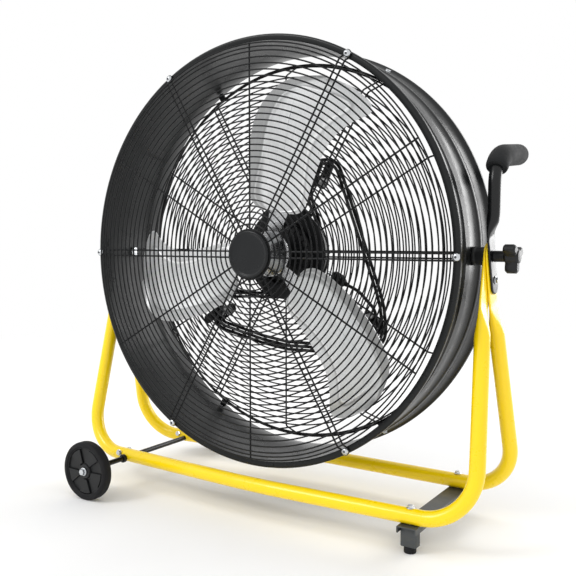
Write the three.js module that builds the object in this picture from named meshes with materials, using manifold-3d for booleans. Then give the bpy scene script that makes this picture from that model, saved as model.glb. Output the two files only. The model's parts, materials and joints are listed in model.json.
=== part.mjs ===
// Drum fan on a two-wheeled tilting stand, in millimetres, +Z up.
// The origin is on the floor under the centre of the drum.
// +X runs along the tilt axis to the handle side, -Y is the side the air blows out of.
import * as THREE from 'three';
import { mergeVertices } from 'three/addons/utils/BufferGeometryUtils.js';
import Module from 'manifold-3d';

const wasm = await Module();
wasm.setup();

// ---------- driving dimensions ----------
const PIVOT_HEIGHT = 511;      // tilt axis above the floor
const RIM_RADIUS = 420;        // rolled lips of the drum
const BODY_RADIUS = 410;       // outside of the drum wall
const SHEET = 2.5;             // drum wall
const HALF_DEPTH = 95;         // front and rear lips, from the tilt axis
const GAP = 0.3;               // between pieces that touch
const SPOKE_STEP = 60;         // degrees between the paired spokes

const GRILLE_FRONT = -108.5;   // front face of the front grille
const WIRE = 3.5;              // grille wire
const PAIR_OFFSET = 6;         // each wire of a pair, from the radial line
const GRILLE_RADIUS = 403;
const GRILLE_HUB = 50;
const SCREW_CIRCLE = 414;      // front grille screws on the lip

const GUARD_FRONT = 22;        // flat face of the rear guard
const GUARD_FLAT_RADIUS = 365;
const GUARD_RIM_RADIUS = 392;
const GUARD_RIM_Y = 72;
const GUARD_HUB = 92;

const TUBE_RADIUS = 14;        // yellow frame tube
const TUBE_HEIGHT = 64;        // centre of the base runs
const BEND_RADIUS = 89;
const FRAME_HALF_WIDTH = 459;
const SPREAD_RIGHT = 114;      // base run from the middle plane, foot end
const SPREAD_MIDDLE = 124;
const SPREAD_LEFT = 92;        // base run from the middle plane, wheel end
const PLATE_HALF_THICK = 2;    // flattened tube ends
const PLATE_HALF_WIDTH = 20.5;
const FRONT_PLATE_X = 435.2;
const REAR_PLATE_X = 439.5;

const WHEEL_RADIUS = 60.6;
const WHEEL_WIDTH = 22;
const WHEEL_OUTER_Y = 233.4;
const AXLE_X = -332;
const AXLE_RADIUS = 5.5;
const FOOT_X = 345;
const FOOT_HEIGHT = 11.7;

const HANDLE_PLATE_X = 444;
const HANDLE_TUBE_X = 451;
const HANDLE_RADIUS = 11;
const GRIP_RADIUS = 19.5;

const BLADE_COUNT = 3;
const BLADE_MID_Y = -27;       // blade surface on its centre line
const BLADE_TWIST = -75;       // travel along Y for each radian round the axis
const BLADE_THICK = 2.4;
const FIRST_BLADE = 75;        // degrees, seen from the front

const MOTOR_RADIUS = 82;
const CORD_RADIUS = 3.4;
const CORD_PITCH = 8;          // between neighbouring turns of the cord

// ---------- materials ----------
const finish = (color, roughness, metalness) =>
  new THREE.MeshStandardMaterial({ color, roughness, metalness });
const yellowPaint = () => finish(0xffe100, 0.35, 0.0);
const blackPaint = () => finish(0x2b2e2f, 0.4, 0.1);
const wireBlack = () => finish(0x17191a, 0.45, 0.1);
const plasticBlack = () => finish(0x1c1e1f, 0.55, 0.0);
const rubberBlack = () => finish(0x141515, 0.85, 0.0);
const foamBlack = () => finish(0x202223, 0.95, 0.0);
const greyPaint = () => finish(0x4a4d4e, 0.5, 0.1);
const aluminium = () => finish(0xc9ccca, 0.3, 0.9);
const zincSteel = () => finish(0xcfd3d6, 0.3, 0.9);

// ---------- shape helpers ----------
const rad = THREE.MathUtils.degToRad;
const vec = (x, y, z) => new THREE.Vector3(x, y, z);

// Point in a drum-centred frame: radius and angle seen from the front, and depth.
const polar = (radius, degrees, y) =>
  vec(radius * Math.cos(rad(degrees)), y, radius * Math.sin(rad(degrees)));

// Keeps only positions, merges shared vertices and drops triangles with no area.
function weld(geometry) {
  if (geometry.index && Object.keys(geometry.attributes).length === 1) return geometry;
  const bare = geometry.clone();
  for (const name of Object.keys(bare.attributes)) {
    if (name !== 'position') bare.deleteAttribute(name);
  }
  const merged = mergeVertices(bare, 1e-4);
  const index = merged.index.array;
  const kept = [];
  for (let i = 0; i < index.length; i += 3) {
    const [a, b, c] = [index[i], index[i + 1], index[i + 2]];
    if (a !== b && b !== c && a !== c) kept.push(a, b, c);
  }
  merged.setIndex(kept);
  return merged;
}

function toSolid(geometry) {
  const merged = weld(geometry);
  return new wasm.Manifold(new wasm.Mesh({
    numProp: 3,
    vertProperties: new Float32Array(merged.attributes.position.array),
    triVerts: new Uint32Array(merged.index.array),
  }));
}

function toGeometry(solid) {
  const mesh = solid.getMesh();
  const geometry = new THREE.BufferGeometry();
  geometry.setAttribute('position', new THREE.BufferAttribute(mesh.vertProperties, 3));
  geometry.setIndex([...mesh.triVerts]);
  return geometry;
}

function join(...geometries) {
  return toGeometry(geometries.map(toSolid).reduce((whole, piece) => whole.add(piece)));
}

function cut(geometry, ...tools) {
  return toGeometry(tools.map(toSolid).reduce((whole, tool) => whole.subtract(tool), toSolid(geometry)));
}

// Closed solid through rings of points that all have the same count.
function loft(rings) {
  const count = rings[0].length;
  const positions = rings.flat().flatMap((p) => [p.x, p.y, p.z]);
  const index = [];
  for (let r = 0; r + 1 < rings.length; r += 1) {
    for (let i = 0; i < count; i += 1) {
      const j = (i + 1) % count;
      const [a, b] = [r * count + i, r * count + j];
      index.push(a, b, a + count, b, b + count, a + count);
    }
  }
  const last = (rings.length - 1) * count;
  for (let i = 1; i + 1 < count; i += 1) {
    index.push(0, i + 1, i);
    index.push(last, last + i, last + i + 1);
  }
  const geometry = new THREE.BufferGeometry();
  geometry.setAttribute('position', new THREE.Float32BufferAttribute(positions, 3));
  geometry.setIndex(index);
  return outward(geometry);
}

// Turns the faces outward where the enclosed volume comes out negative.
function outward(geometry) {
  const p = geometry.attributes.position;
  const index = geometry.index.array;
  const corner = (i) => vec(p.getX(index[i]), p.getY(index[i]), p.getZ(index[i]));
  let volume = 0;
  for (let i = 0; i < index.length; i += 3) {
    volume += corner(i).dot(corner(i + 1).cross(corner(i + 2)));
  }
  if (volume >= 0) return geometry;
  const flipped = [];
  for (let i = 0; i < index.length; i += 3) flipped.push(index[i], index[i + 2], index[i + 1]);
  geometry.setIndex(flipped);
  return geometry;
}

// Polyline with each inner corner rounded to a radius.
function filletPath(corners, radii, steps) {
  const path = [corners[0].clone()];
  for (let i = 1; i + 1 < corners.length; i += 1) {
    const inward = corners[i].clone().sub(corners[i - 1]).normalize();
    const away = corners[i + 1].clone().sub(corners[i]).normalize();
    const angle = inward.angleTo(away);
    const reach = radii[i - 1] * Math.tan(angle / 2);
    const start = corners[i].clone().addScaledVector(inward, -reach);
    const toCentre = away.clone().addScaledVector(inward, -Math.cos(angle)).normalize();
    const count = Math.max(1, Math.round(steps * angle / (Math.PI / 2)));
    for (let k = 0; k <= count; k += 1) {
      const turn = angle * k / count;
      path.push(start.clone()
        .addScaledVector(inward, radii[i - 1] * Math.sin(turn))
        .addScaledVector(toCentre, radii[i - 1] * (1 - Math.cos(turn))));
    }
  }
  path.push(corners.at(-1).clone());
  return path;
}

const directionAt = (path, i) =>
  path[Math.min(i + 1, path.length - 1)].clone().sub(path[Math.max(i - 1, 0)]).normalize();

// Ring of points round a path point: `half` gives the half sizes across and along `normal`.
function sectionRing(centre, direction, normal, half, sides, squareness) {
  const up = normal.clone().addScaledVector(direction, -normal.dot(direction)).normalize();
  const side = direction.clone().cross(up);
  const power = 1 - 0.65 * squareness;
  const ring = [];
  for (let i = 0; i < sides; i += 1) {
    const turn = 2 * Math.PI * (i + 0.5) / sides;
    const [c, s] = [Math.cos(turn), Math.sin(turn)];
    ring.push(centre.clone()
      .addScaledVector(side, half[0] * Math.sign(c) * Math.abs(c) ** power)
      .addScaledVector(up, half[1] * Math.sign(s) * Math.abs(s) ** power));
  }
  return ring;
}

function roundTube(path, radius, normal, sides) {
  return loft(path.map((point, i) =>
    sectionRing(point, directionAt(path, i), normal, [radius, radius], sides, 0)));
}

const lathe = (profile, segments) =>
  outward(weld(new THREE.LatheGeometry(profile.map(([r, y]) => new THREE.Vector2(r, y)), segments)));

// Turned piece: profile of [radius, distance along the axis], with the axis along +Y, +X or +Z.
const turnedY = (profile, segments) => lathe(profile, segments);
const turnedX = (profile, segments) => lathe(profile, segments).rotateZ(-Math.PI / 2);
const turnedZ = (profile, segments) => lathe(profile, segments).rotateX(Math.PI / 2);

const cylinderProfile = (radius, from, to) => [[0, from], [radius, from], [radius, to], [0, to]];

// Flat outline in the X-Z plane, with its thickness along Y from `front` to `front + depth`.
function plateY(shape, front, depth) {
  return new THREE.ExtrudeGeometry(shape, { depth, bevelEnabled: false, curveSegments: 2 })
    .rotateX(Math.PI / 2).translate(0, front + depth, 0);
}

function boxAt(sizeX, sizeY, sizeZ, x, y, z) {
  return new THREE.BoxGeometry(sizeX, sizeY, sizeZ).translate(x, y, z);
}

function regularShape(radius, sides, phase) {
  const shape = new THREE.Shape();
  for (let i = 0; i < sides; i += 1) {
    const turn = phase + 2 * Math.PI * i / sides;
    const point = [radius * Math.cos(turn), radius * Math.sin(turn)];
    if (i === 0) shape.moveTo(...point);
    else shape.lineTo(...point);
  }
  shape.closePath();
  return shape;
}

function roundedRect(width, height, corner) {
  const [w, h] = [width / 2, height / 2];
  const shape = new THREE.Shape();
  shape.moveTo(-w + corner, -h);
  shape.lineTo(w - corner, -h);
  shape.absarc(w - corner, -h + corner, corner, -Math.PI / 2, 0);
  shape.lineTo(w, h - corner);
  shape.absarc(w - corner, h - corner, corner, 0, Math.PI / 2);
  shape.lineTo(-w + corner, h);
  shape.absarc(-w + corner, h - corner, corner, Math.PI / 2, Math.PI);
  shape.lineTo(-w, -h + corner);
  shape.absarc(-w + corner, -h + corner, corner, Math.PI, 1.5 * Math.PI);
  return shape;
}

const root = new THREE.Group();
const drum = new THREE.Group();
drum.position.z = PIVOT_HEIGHT;
root.add(drum);

function addPiece(parent, name, geometry, material) {
  const piece = new THREE.Mesh(weld(geometry), material);
  piece.name = name;
  parent.add(piece);
  return piece;
}

// ---------- stand: two bent tubes ----------
// Each tube is one U: flattened end, upright, bend, base run with a slight bend, and back up.
function frameTube(side, plateX) {
  const uprightTop = PIVOT_HEIGHT - 84;
  const topLean = 20;
  const plateReach = 23;
  const top = (hand) => vec(hand * plateX, side * -6, PIVOT_HEIGHT + plateReach);
  const corners = [
    top(-1),
    vec(-plateX - 0.5, side * topLean, uprightTop),
    vec(-FRAME_HALF_WIDTH, side * SPREAD_LEFT, TUBE_HEIGHT),
    vec(20, side * SPREAD_MIDDLE, TUBE_HEIGHT),
    vec(FRAME_HALF_WIDTH, side * SPREAD_RIGHT, TUBE_HEIGHT),
    vec(plateX + 0.5, side * topLean, uprightTop),
    top(1),
  ];
  const path = filletPath(corners, [200, BEND_RADIUS, 900, BEND_RADIUS, 200], 5);
  return loft(frameSections(path, side, plateReach));
}

// Adds the flattening near both ends, measured by height above the floor.
function frameSections(path, side, plateReach) {
  const flatFrom = PIVOT_HEIGHT - 84;
  const roundBelow = PIVOT_HEIGHT - 142;
  const topZ = PIVOT_HEIGHT + plateReach;
  const extraHeights = [topZ - 5, topZ - 14, flatFrom, flatFrom - 31, roundBelow];
  const dense = [];
  path.forEach((point, i) => {
    dense.push(point);
    const next = path[i + 1];
    if (!next) return;
    const inside = extraHeights
      .map((z) => (z - point.z) / (next.z - point.z))
      .filter((t) => t > 0.02 && t < 0.98)
      .sort((a, b) => a - b);
    inside.forEach((t) => dense.push(point.clone().lerp(next, t)));
  });
  const planeNormal = vec(0, side * 0.97, 0.24);
  return dense.map((point, i) => {
    const flat = THREE.MathUtils.smoothstep(point.z, roundBelow, flatFrom);
    const fromEnd = topZ - point.z;
    const tip = fromEnd < PLATE_HALF_WIDTH
      ? Math.sqrt(Math.max(0.08, 1 - (1 - fromEnd / PLATE_HALF_WIDTH) ** 2))
      : 1;
    const thick = THREE.MathUtils.lerp(TUBE_RADIUS, PLATE_HALF_THICK, flat);
    const wide = THREE.MathUtils.lerp(TUBE_RADIUS, PLATE_HALF_WIDTH, flat) * tip;
    return sectionRing(point, directionAt(dense, i), planeNormal, [thick, wide], 10, flat);
  });
}

// Height of a base run's centre line plan position, for the pieces that pass through it.
function baseRunY(x) {
  const t = x < 20 ? (20 - x) / (20 + FRAME_HALF_WIDTH) : (x - 20) / (FRAME_HALF_WIDTH - 20);
  return THREE.MathUtils.lerp(SPREAD_MIDDLE, x < 20 ? SPREAD_LEFT : SPREAD_RIGHT, t);
}

const PIVOT_HOLE = 6.5;
const AXLE_Z = WHEEL_RADIUS;
const AXLE_BOLT = { x: AXLE_X - 17, z: TUBE_HEIGHT + 6, radius: 3 };
const FOOT_BOLT_RADIUS = 3;

function pivotHoleTool() {
  return turnedX(cylinderProfile(PIVOT_HOLE, -470, 470), 12).translate(0, 0, PIVOT_HEIGHT);
}

function handleBoltTool() {
  return turnedX(cylinderProfile(HANDLE_BOLT.radius + GAP, 420, 460), 8)
    .translate(0, HANDLE_BOLT.y, HANDLE_BOLT.z);
}

const HANDLE_BOLT = { y: 11.5, z: PIVOT_HEIGHT - 42, radius: 3 };

function standTubes() {
  for (const [name, side, plateX] of [['front', -1, FRONT_PLATE_X], ['rear', 1, REAR_PLATE_X]]) {
    const axleHole = turnedY(cylinderProfile(AXLE_RADIUS + GAP, -200, 200), 12)
      .translate(AXLE_X, 0, AXLE_Z);
    const boltHole = turnedY(cylinderProfile(AXLE_BOLT.radius + GAP, -200, 200), 8)
      .translate(AXLE_BOLT.x, 0, AXLE_BOLT.z);
    const footHole = turnedZ(cylinderProfile(FOOT_BOLT_RADIUS + GAP, 0, 120), 8)
      .translate(FOOT_X, side * baseRunY(FOOT_X), 0);
    const tools = [pivotHoleTool(), axleHole, boltHole, footHole];
    if (side > 0) tools.push(handleBoltTool());
    addPiece(root, `${name}_frame_tube`, cut(frameTube(side, plateX), ...tools), yellowPaint());
  }
}

// ---------- stand: axle, wheels and their fasteners ----------
const hexProfileRadius = (acrossFlats) => acrossFlats / Math.sqrt(3);

// Hexagon head with a shank, along +Y from the bearing face at 0; the head points to -Y.
function hexBoltY(acrossFlats, headHeight, shankRadius, length) {
  const head = new THREE.CylinderGeometry(hexProfileRadius(acrossFlats),
    hexProfileRadius(acrossFlats), headHeight, 6).translate(0, -headHeight / 2, 0);
  const flange = turnedY(cylinderProfile(acrossFlats * 0.72, -1.6, 0), 10);
  const shank = turnedY(cylinderProfile(shankRadius, -1, length), 6);
  return join(head, flange, shank);
}

// Through bolt with a nut at its far end.
function boltAndNutY(acrossFlats, headHeight, shankRadius, grip) {
  const nut = new THREE.CylinderGeometry(hexProfileRadius(acrossFlats),
    hexProfileRadius(acrossFlats), headHeight, 6).translate(0, grip + headHeight / 2, 0);
  const tail = turnedY(cylinderProfile(shankRadius, grip - 1, grip + headHeight + 2), 6);
  return join(hexBoltY(acrossFlats, headHeight, shankRadius, grip + 1), nut, tail);
}

// Wheel with a rounded tread and five sunk sectors in its outer face, which points to -Y.
function wheelBody() {
  const half = WHEEL_WIDTH / 2;
  const r = WHEEL_RADIUS;
  const profile = [
    [AXLE_RADIUS + GAP, -half + 1], [14, -half + 1], [16, -half + 3], [50, -half + 3],
    [52, -half], [r - 4, -half], [r, -half + 4], [r, half - 4], [r - 4, half],
    [AXLE_RADIUS + GAP, half], [AXLE_RADIUS + GAP, -half + 1],
  ];
  const pockets = [];
  for (let i = 0; i < 5; i += 1) {
    const middle = rad(90 + 72 * i);
    const spread = rad(15);
    const sector = new THREE.Shape();
    sector.moveTo(20 * Math.cos(middle - spread), 20 * Math.sin(middle - spread));
    sector.absarc(0, 0, 47, middle - spread, middle + spread, false);
    sector.lineTo(20 * Math.cos(middle + spread), 20 * Math.sin(middle + spread));
    sector.closePath();
    const outline = new THREE.ExtrudeGeometry(sector, { depth: 8, bevelEnabled: false, curveSegments: 2 });
    pockets.push(outline.rotateX(Math.PI / 2).translate(0, -half + 6, 0));
  }
  return cut(turnedY(profile, 24), ...pockets);
}

function wheelsAndAxle() {
  const wheelY = WHEEL_OUTER_Y - WHEEL_WIDTH / 2;
  const axleHalf = WHEEL_OUTER_Y - 2;
  addPiece(root, 'wheel_axle',
    turnedY(cylinderProfile(AXLE_RADIUS, -axleHalf, axleHalf), 12).translate(AXLE_X, 0, AXLE_Z),
    blackPaint());
  for (const [name, side] of [['front', -1], ['rear', 1]]) {
    const facing = side < 0 ? 0 : Math.PI;
    addPiece(root, `${name}_wheel`,
      wheelBody().rotateZ(facing).translate(AXLE_X, side * wheelY, AXLE_Z), plasticBlack());
    const washer = [[0, -5], [5, -5], [8.6, -3.4], [8.6, 0], [0, 0]];
    const cap = join(turnedY(washer, 12),
      new THREE.CylinderGeometry(6.6, 6.6, 5, 6).translate(0, -5.5, 0));
    addPiece(root, `wheel_bolt_${name}`,
      cap.rotateZ(facing).translate(AXLE_X, side * (axleHalf + 2), AXLE_Z), zincSteel());
    axleFixings(name, side, facing);
  }
}

function axleFixings(name, side, facing) {
  const tubeY = baseRunY(AXLE_X);
  const collar = [[AXLE_RADIUS + GAP, 0], [9, 0], [9, -7], [AXLE_RADIUS + GAP, -7], [AXLE_RADIUS + GAP, 0]];
  const collarFace = side * (tubeY + TUBE_RADIUS + 4 * GAP);
  addPiece(root, `axle_collar_${name}`,
    turnedY(collar, 16).rotateZ(facing).translate(AXLE_X, collarFace, AXLE_Z), plasticBlack());
  const boltY = baseRunY(AXLE_BOLT.x);
  const bolt = boltAndNutY(10, 5, AXLE_BOLT.radius, 2 * TUBE_RADIUS + 2 * GAP);
  addPiece(root, `axle_bolt_${name}`,
    bolt.rotateZ(facing).translate(AXLE_BOLT.x, side * (boltY + TUBE_RADIUS + GAP), AXLE_BOLT.z),
    zincSteel());
}

// ---------- stand: foot crossbar, legs and rubber feet ----------
const CROSSBAR_TOP = TUBE_HEIGHT - TUBE_RADIUS - GAP;
const CROSSBAR_HEIGHT = 12;
const CROSSBAR_WIDTH = 36;
const CROSSBAR_SHEET = 2.5;
const LEG = { x: 30, y: 20 };

function footAssembly() {
  const reach = baseRunY(FOOT_X) + 19;
  const web = boxAt(CROSSBAR_WIDTH, 2 * reach, CROSSBAR_SHEET,
    FOOT_X, 0, CROSSBAR_TOP - CROSSBAR_SHEET / 2);
  const flangeX = (CROSSBAR_WIDTH - CROSSBAR_SHEET) / 2;
  const flanges = [-1, 1].map((hand) => boxAt(CROSSBAR_SHEET, 2 * reach, CROSSBAR_HEIGHT,
    FOOT_X + hand * flangeX, 0, CROSSBAR_TOP - CROSSBAR_HEIGHT / 2));
  const holes = [-1, 1].map((side) =>
    turnedZ(cylinderProfile(FOOT_BOLT_RADIUS + GAP, 0, 120), 8)
      .translate(FOOT_X, side * baseRunY(FOOT_X), 0));
  addPiece(root, 'foot_crossbar', cut(join(web, ...flanges), ...holes), greyPaint());
  for (const [name, side] of [['front', -1], ['rear', 1]]) footLeg(name, side);
}

function footLeg(name, side) {
  const y = side * baseRunY(FOOT_X);
  const legTop = CROSSBAR_TOP - CROSSBAR_SHEET - GAP;
  const legHeight = legTop - FOOT_HEIGHT - GAP;
  const leg = new THREE.ExtrudeGeometry(roundedRect(LEG.x, LEG.y, 3),
    { depth: legHeight, bevelEnabled: false, curveSegments: 2 })
    .translate(FOOT_X, y, FOOT_HEIGHT + GAP);
  const bore = turnedZ(cylinderProfile(FOOT_BOLT_RADIUS + GAP, 0, 120), 8).translate(FOOT_X, y, 0);
  addPiece(root, `foot_leg_${name}`, cut(leg, bore), greyPaint());
  const sole = [[0, 0], [9.5, 0], [11, 2], [11, FOOT_HEIGHT], [2.8, FOOT_HEIGHT],
    [2.8, FOOT_HEIGHT + 9], [0, FOOT_HEIGHT + 9]];
  addPiece(root, `rubber_foot_${name}`,
    turnedY(sole, 16).rotateX(Math.PI / 2).translate(FOOT_X, y, 0), rubberBlack());
  const tubeTop = TUBE_HEIGHT + TUBE_RADIUS + GAP;
  const bolt = hexBoltY(10, 5.5, FOOT_BOLT_RADIUS, tubeTop - FOOT_HEIGHT - 14);
  addPiece(root, `foot_bolt_${name}`,
    bolt.rotateX(-Math.PI / 2).translate(FOOT_X, y, tubeTop), zincSteel());
}

// ---------- stand: push handle ----------
// The lower end is pressed flat and bolted over the pivot; the tube rises, then turns back.
function handlePath() {
  const corners = [
    vec(HANDLE_PLATE_X, 18, PIVOT_HEIGHT - 66),
    vec(HANDLE_PLATE_X, -14, PIVOT_HEIGHT + 40),
    vec(HANDLE_TUBE_X, -18, PIVOT_HEIGHT + 72),
    vec(HANDLE_TUBE_X, -17, PIVOT_HEIGHT + 172),
    vec(HANDLE_TUBE_X, 118, PIVOT_HEIGHT + 186),
  ];
  return filletPath(corners, [80, 80, 42], 8);
}

function pushHandle() {
  const path = handlePath();
  const bottom = path[0].z;
  const dense = [];
  path.forEach((point, i) => {
    dense.push(point);
    if (i === 0) {
      for (const t of [0.05, 0.14, 0.9]) dense.push(point.clone().lerp(path[1], t));
    }
  });
  const normal = vec(1, 0, 0);
  const rings = dense.map((point, i) => {
    const flat = 1 - THREE.MathUtils.smoothstep(point.z, PIVOT_HEIGHT + 32, PIVOT_HEIGHT + 66);
    const rise = point.z - bottom;
    const tip = rise < 14 ? Math.sqrt(Math.max(0.25, 1 - (1 - rise / 14) ** 2)) : 1;
    const thick = THREE.MathUtils.lerp(HANDLE_RADIUS, 2.1, flat);
    const wide = THREE.MathUtils.lerp(HANDLE_RADIUS, 16.5, flat) * tip;
    return sectionRing(point, directionAt(dense, i), normal, [wide, thick], 12, flat);
  });
  addPiece(root, 'push_handle', cut(loft(rings), pivotHoleTool(), handleBoltTool()), blackPaint());
  handleGrip(dense);
  const bolt = hexBoltY(10, 5, HANDLE_BOLT.radius, 8)
    .rotateZ(Math.PI / 2)
    .translate(HANDLE_PLATE_X + 2.1 + GAP, HANDLE_BOLT.y, HANDLE_BOLT.z);
  addPiece(root, 'handle_bolt', bolt, zincSteel());
}

// Foam sleeve over the turned-back end, closed at its far end.
function handleGrip(path) {
  const from = path.findIndex((p) => p.z > PIVOT_HEIGHT + 150);
  const covered = path.slice(from);
  const end = covered.at(-1).clone();
  const back = directionAt(path, path.length - 1);
  covered.push(end.clone().addScaledVector(back, 5), end.clone().addScaledVector(back, 9));
  const last = covered.length - 1;
  const rings = covered.map((point, i) => {
    const shrink = { 0: 0.93, [last]: 0.72 }[i] ?? 1;
    const half = GRIP_RADIUS * shrink;
    return sectionRing(point, directionAt(covered, i), vec(1, 0, 0), [half, half], 12, 0);
  });
  const reach = path.slice(from - 1);
  const bore = roundTube(reach, HANDLE_RADIUS + GAP, vec(1, 0, 0), 12);
  addPiece(root, 'handle_grip', cut(loft(rings), bore), foamBlack());
}

// ---------- tilt pivots ----------
const STUD_RADIUS = 5;
const KNOB_END_X = 492;

// Knob with three arms on a sleeve, along +X; `sleeveFrom` is its seat on the frame.
function starKnob(sleeveFrom) {
  const armFrom = KNOB_END_X - 24;
  const shape = new THREE.Shape();
  for (let i = 0; i < 3; i += 1) {
    const middle = rad(97 + 120 * i);
    const at = (radius, degrees) => {
      const turn = middle + rad(degrees);
      return [radius * Math.cos(turn), radius * Math.sin(turn)];
    };
    if (i === 0) shape.moveTo(...at(12, -60));
    shape.lineTo(...at(20, -24));
    shape.lineTo(...at(27, -15));
    shape.lineTo(...at(29.5, -6));
    shape.lineTo(...at(29.5, 6));
    shape.lineTo(...at(27, 15));
    shape.lineTo(...at(20, 24));
    shape.lineTo(...at(12, 60));
  }
  const arms = new THREE.ExtrudeGeometry(shape, {
    depth: 16, bevelEnabled: true, bevelThickness: 3, bevelSize: 1.8, bevelOffset: -1.8, bevelSegments: 1,
  }).rotateX(Math.PI / 2).rotateZ(-Math.PI / 2);
  arms.translate(-arms_min(arms) + armFrom, 0, 0);
  const sleeve = turnedX(cylinderProfile(9.8, sleeveFrom, armFrom + 4), 12);
  const boss = turnedX([[0, armFrom + 2], [14, armFrom + 2], [12, KNOB_END_X - 1], [10, KNOB_END_X],
    [0, KNOB_END_X]], 12);
  const bore = turnedX(cylinderProfile(STUD_RADIUS + GAP, 0, armFrom + 8), 10);
  return cut(join(arms, sleeve, boss), bore);
}

function arms_min(geometry) {
  geometry.computeBoundingBox();
  return geometry.boundingBox.min.x;
}

function pivots() {
  const rightSeat = HANDLE_PLATE_X + 2.1 + GAP;
  const leftSeat = REAR_PLATE_X + PLATE_HALF_THICK + GAP;
  for (const [name, hand, seat] of [['right', 1, rightSeat], ['left', -1, leftSeat]]) {
    const mirrorTurn = hand > 0 ? 0 : Math.PI;
    const spacerTo = FRONT_PLATE_X - PLATE_HALF_THICK - GAP;
    const spacer = [[STUD_RADIUS + GAP, BODY_RADIUS + 0.8], [17, BODY_RADIUS + 0.8], [16.2, spacerTo],
      [STUD_RADIUS + GAP, spacerTo], [STUD_RADIUS + GAP, BODY_RADIUS + 0.8]];
    addPiece(drum, `pivot_spacer_${name}`, turnedX(spacer, 20).rotateZ(mirrorTurn), plasticBlack());
    const headFrom = BODY_RADIUS - SHEET - 7;
    const stud = [[0, headFrom], [10, headFrom], [11, headFrom + 5.5], [STUD_RADIUS, headFrom + 5.5],
      [STUD_RADIUS, KNOB_END_X - 18], [0, KNOB_END_X - 18]];
    addPiece(drum, `pivot_stud_${name}`, turnedX(stud, 12).rotateZ(mirrorTurn), zincSteel());
    addPiece(drum, `tilt_knob_${name}`, starKnob(seat).rotateZ(mirrorTurn), plasticBlack());
  }
}

// ---------- drum shell ----------
function drumShell() {
  const inner = BODY_RADIUS - SHEET;
  const profile = [
    [inner, -HALF_DEPTH], [RIM_RADIUS - 2, -HALF_DEPTH], [RIM_RADIUS, -HALF_DEPTH + 3],
    [RIM_RADIUS, -HALF_DEPTH + 10], [BODY_RADIUS, -HALF_DEPTH + 14],
    [BODY_RADIUS, -46], [BODY_RADIUS + 2, -43.5], [BODY_RADIUS, -41],
    [BODY_RADIUS, 29], [BODY_RADIUS + 2.5, 32], [BODY_RADIUS + 2.5, 41], [BODY_RADIUS, 45],
    [BODY_RADIUS + 1, 66], [BODY_RADIUS + 3.5, 78], [RIM_RADIUS, 86],
    [RIM_RADIUS, HALF_DEPTH - 2], [RIM_RADIUS - 2, HALF_DEPTH],
    [RIM_RADIUS - 6, HALF_DEPTH], [BODY_RADIUS + 0.5, 80], [inner + 1, 66], [inner, 46],
    [inner, -HALF_DEPTH],
  ];
  const tools = [turnedX(cylinderProfile(STUD_RADIUS + GAP, -430, 430), 10)];
  for (let i = 0; i < 6; i += 1) {
    const front = polar(SCREW_CIRCLE, i * SPOKE_STEP, -HALF_DEPTH - 5);
    tools.push(turnedY(cylinderProfile(2.5 + 2 * GAP, 0, 15), 8).translate(front.x, front.y, front.z));
    tools.push(turnedX(cylinderProfile(2.5 + 2 * GAP, BODY_RADIUS - 10, RIM_RADIUS + 10), 8)
      .rotateY(-rad(i * SPOKE_STEP)).translate(0, GUARD_RIM_Y, 0));
  }
  addPiece(drum, 'drum_shell', cut(turnedY(profile, 36), ...tools), blackPaint());
}

// ---------- grilles ----------
// Nets are drawn turned by this many degrees, so that no line of openings is exactly level,
// and then turned back.
const NET_TURN = 11;
const netPlate = (shape, front) => plateY(shape, front, WIRE).rotateY(rad(NET_TURN));

// Outline with one opening for each cell between neighbouring rings and spokes.
// `rings` are the centre radii; the spokes are pairs every 60 degrees with a single between.
function grilleShape(rings, outerRadius, solidHub) {
  const outline = regularShape(outerRadius, 36, 0);
  const edges = rings.map((radius) => [radius - WIRE / 2, radius + WIRE / 2]);
  for (let k = 0; k < edges.length; k += 1) {
    const from = k === 0 ? solidHub : edges[k - 1][1];
    const to = edges[k][0];
    for (let i = 0; i < 6; i += 1) addSector(outline, from, to, i * SPOKE_STEP);
  }
  return outline;
}

function addSector(outline, from, to, pairAngle) {
  const half = WIRE / 2;
  const middles = to > 170 ? 1 : 0;
  const single = pairAngle + SPOKE_STEP / 2;
  const next = pairAngle + SPOKE_STEP;
  outline.holes.push(cell(from, to, [pairAngle, -PAIR_OFFSET + half], [pairAngle, PAIR_OFFSET - half], 0));
  outline.holes.push(cell(from, to, [pairAngle, PAIR_OFFSET + half], [single, -half], middles));
  outline.holes.push(cell(from, to, [single, half], [next, -PAIR_OFFSET - half], middles));
}

// Opening between two radii and two straight sides, each a line parallel to a radius.
function cell(from, to, [startAngle, startOffset], [endAngle, endOffset], middles) {
  const hole = new THREE.Path();
  const side = (angle, offset, radius) => rad(angle + NET_TURN) + Math.asin(offset / radius);
  const arc = (radius) => {
    const a = side(startAngle, startOffset, radius);
    const b = side(endAngle, endOffset, radius);
    const turns = [];
    for (let i = 0; i <= middles + 1; i += 1) turns.push(a + (b - a) * i / (middles + 1));
    return turns.map((turn) => new THREE.Vector2(radius * Math.cos(turn), radius * Math.sin(turn)));
  };
  hole.setFromPoints([...arc(from), ...arc(to).reverse()]);
  hole.closePath();
  return hole;
}

const ringRadii = (first, last, count) =>
  Array.from({ length: count }, (_, i) => first + (last - first) * i / (count - 1));

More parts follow.
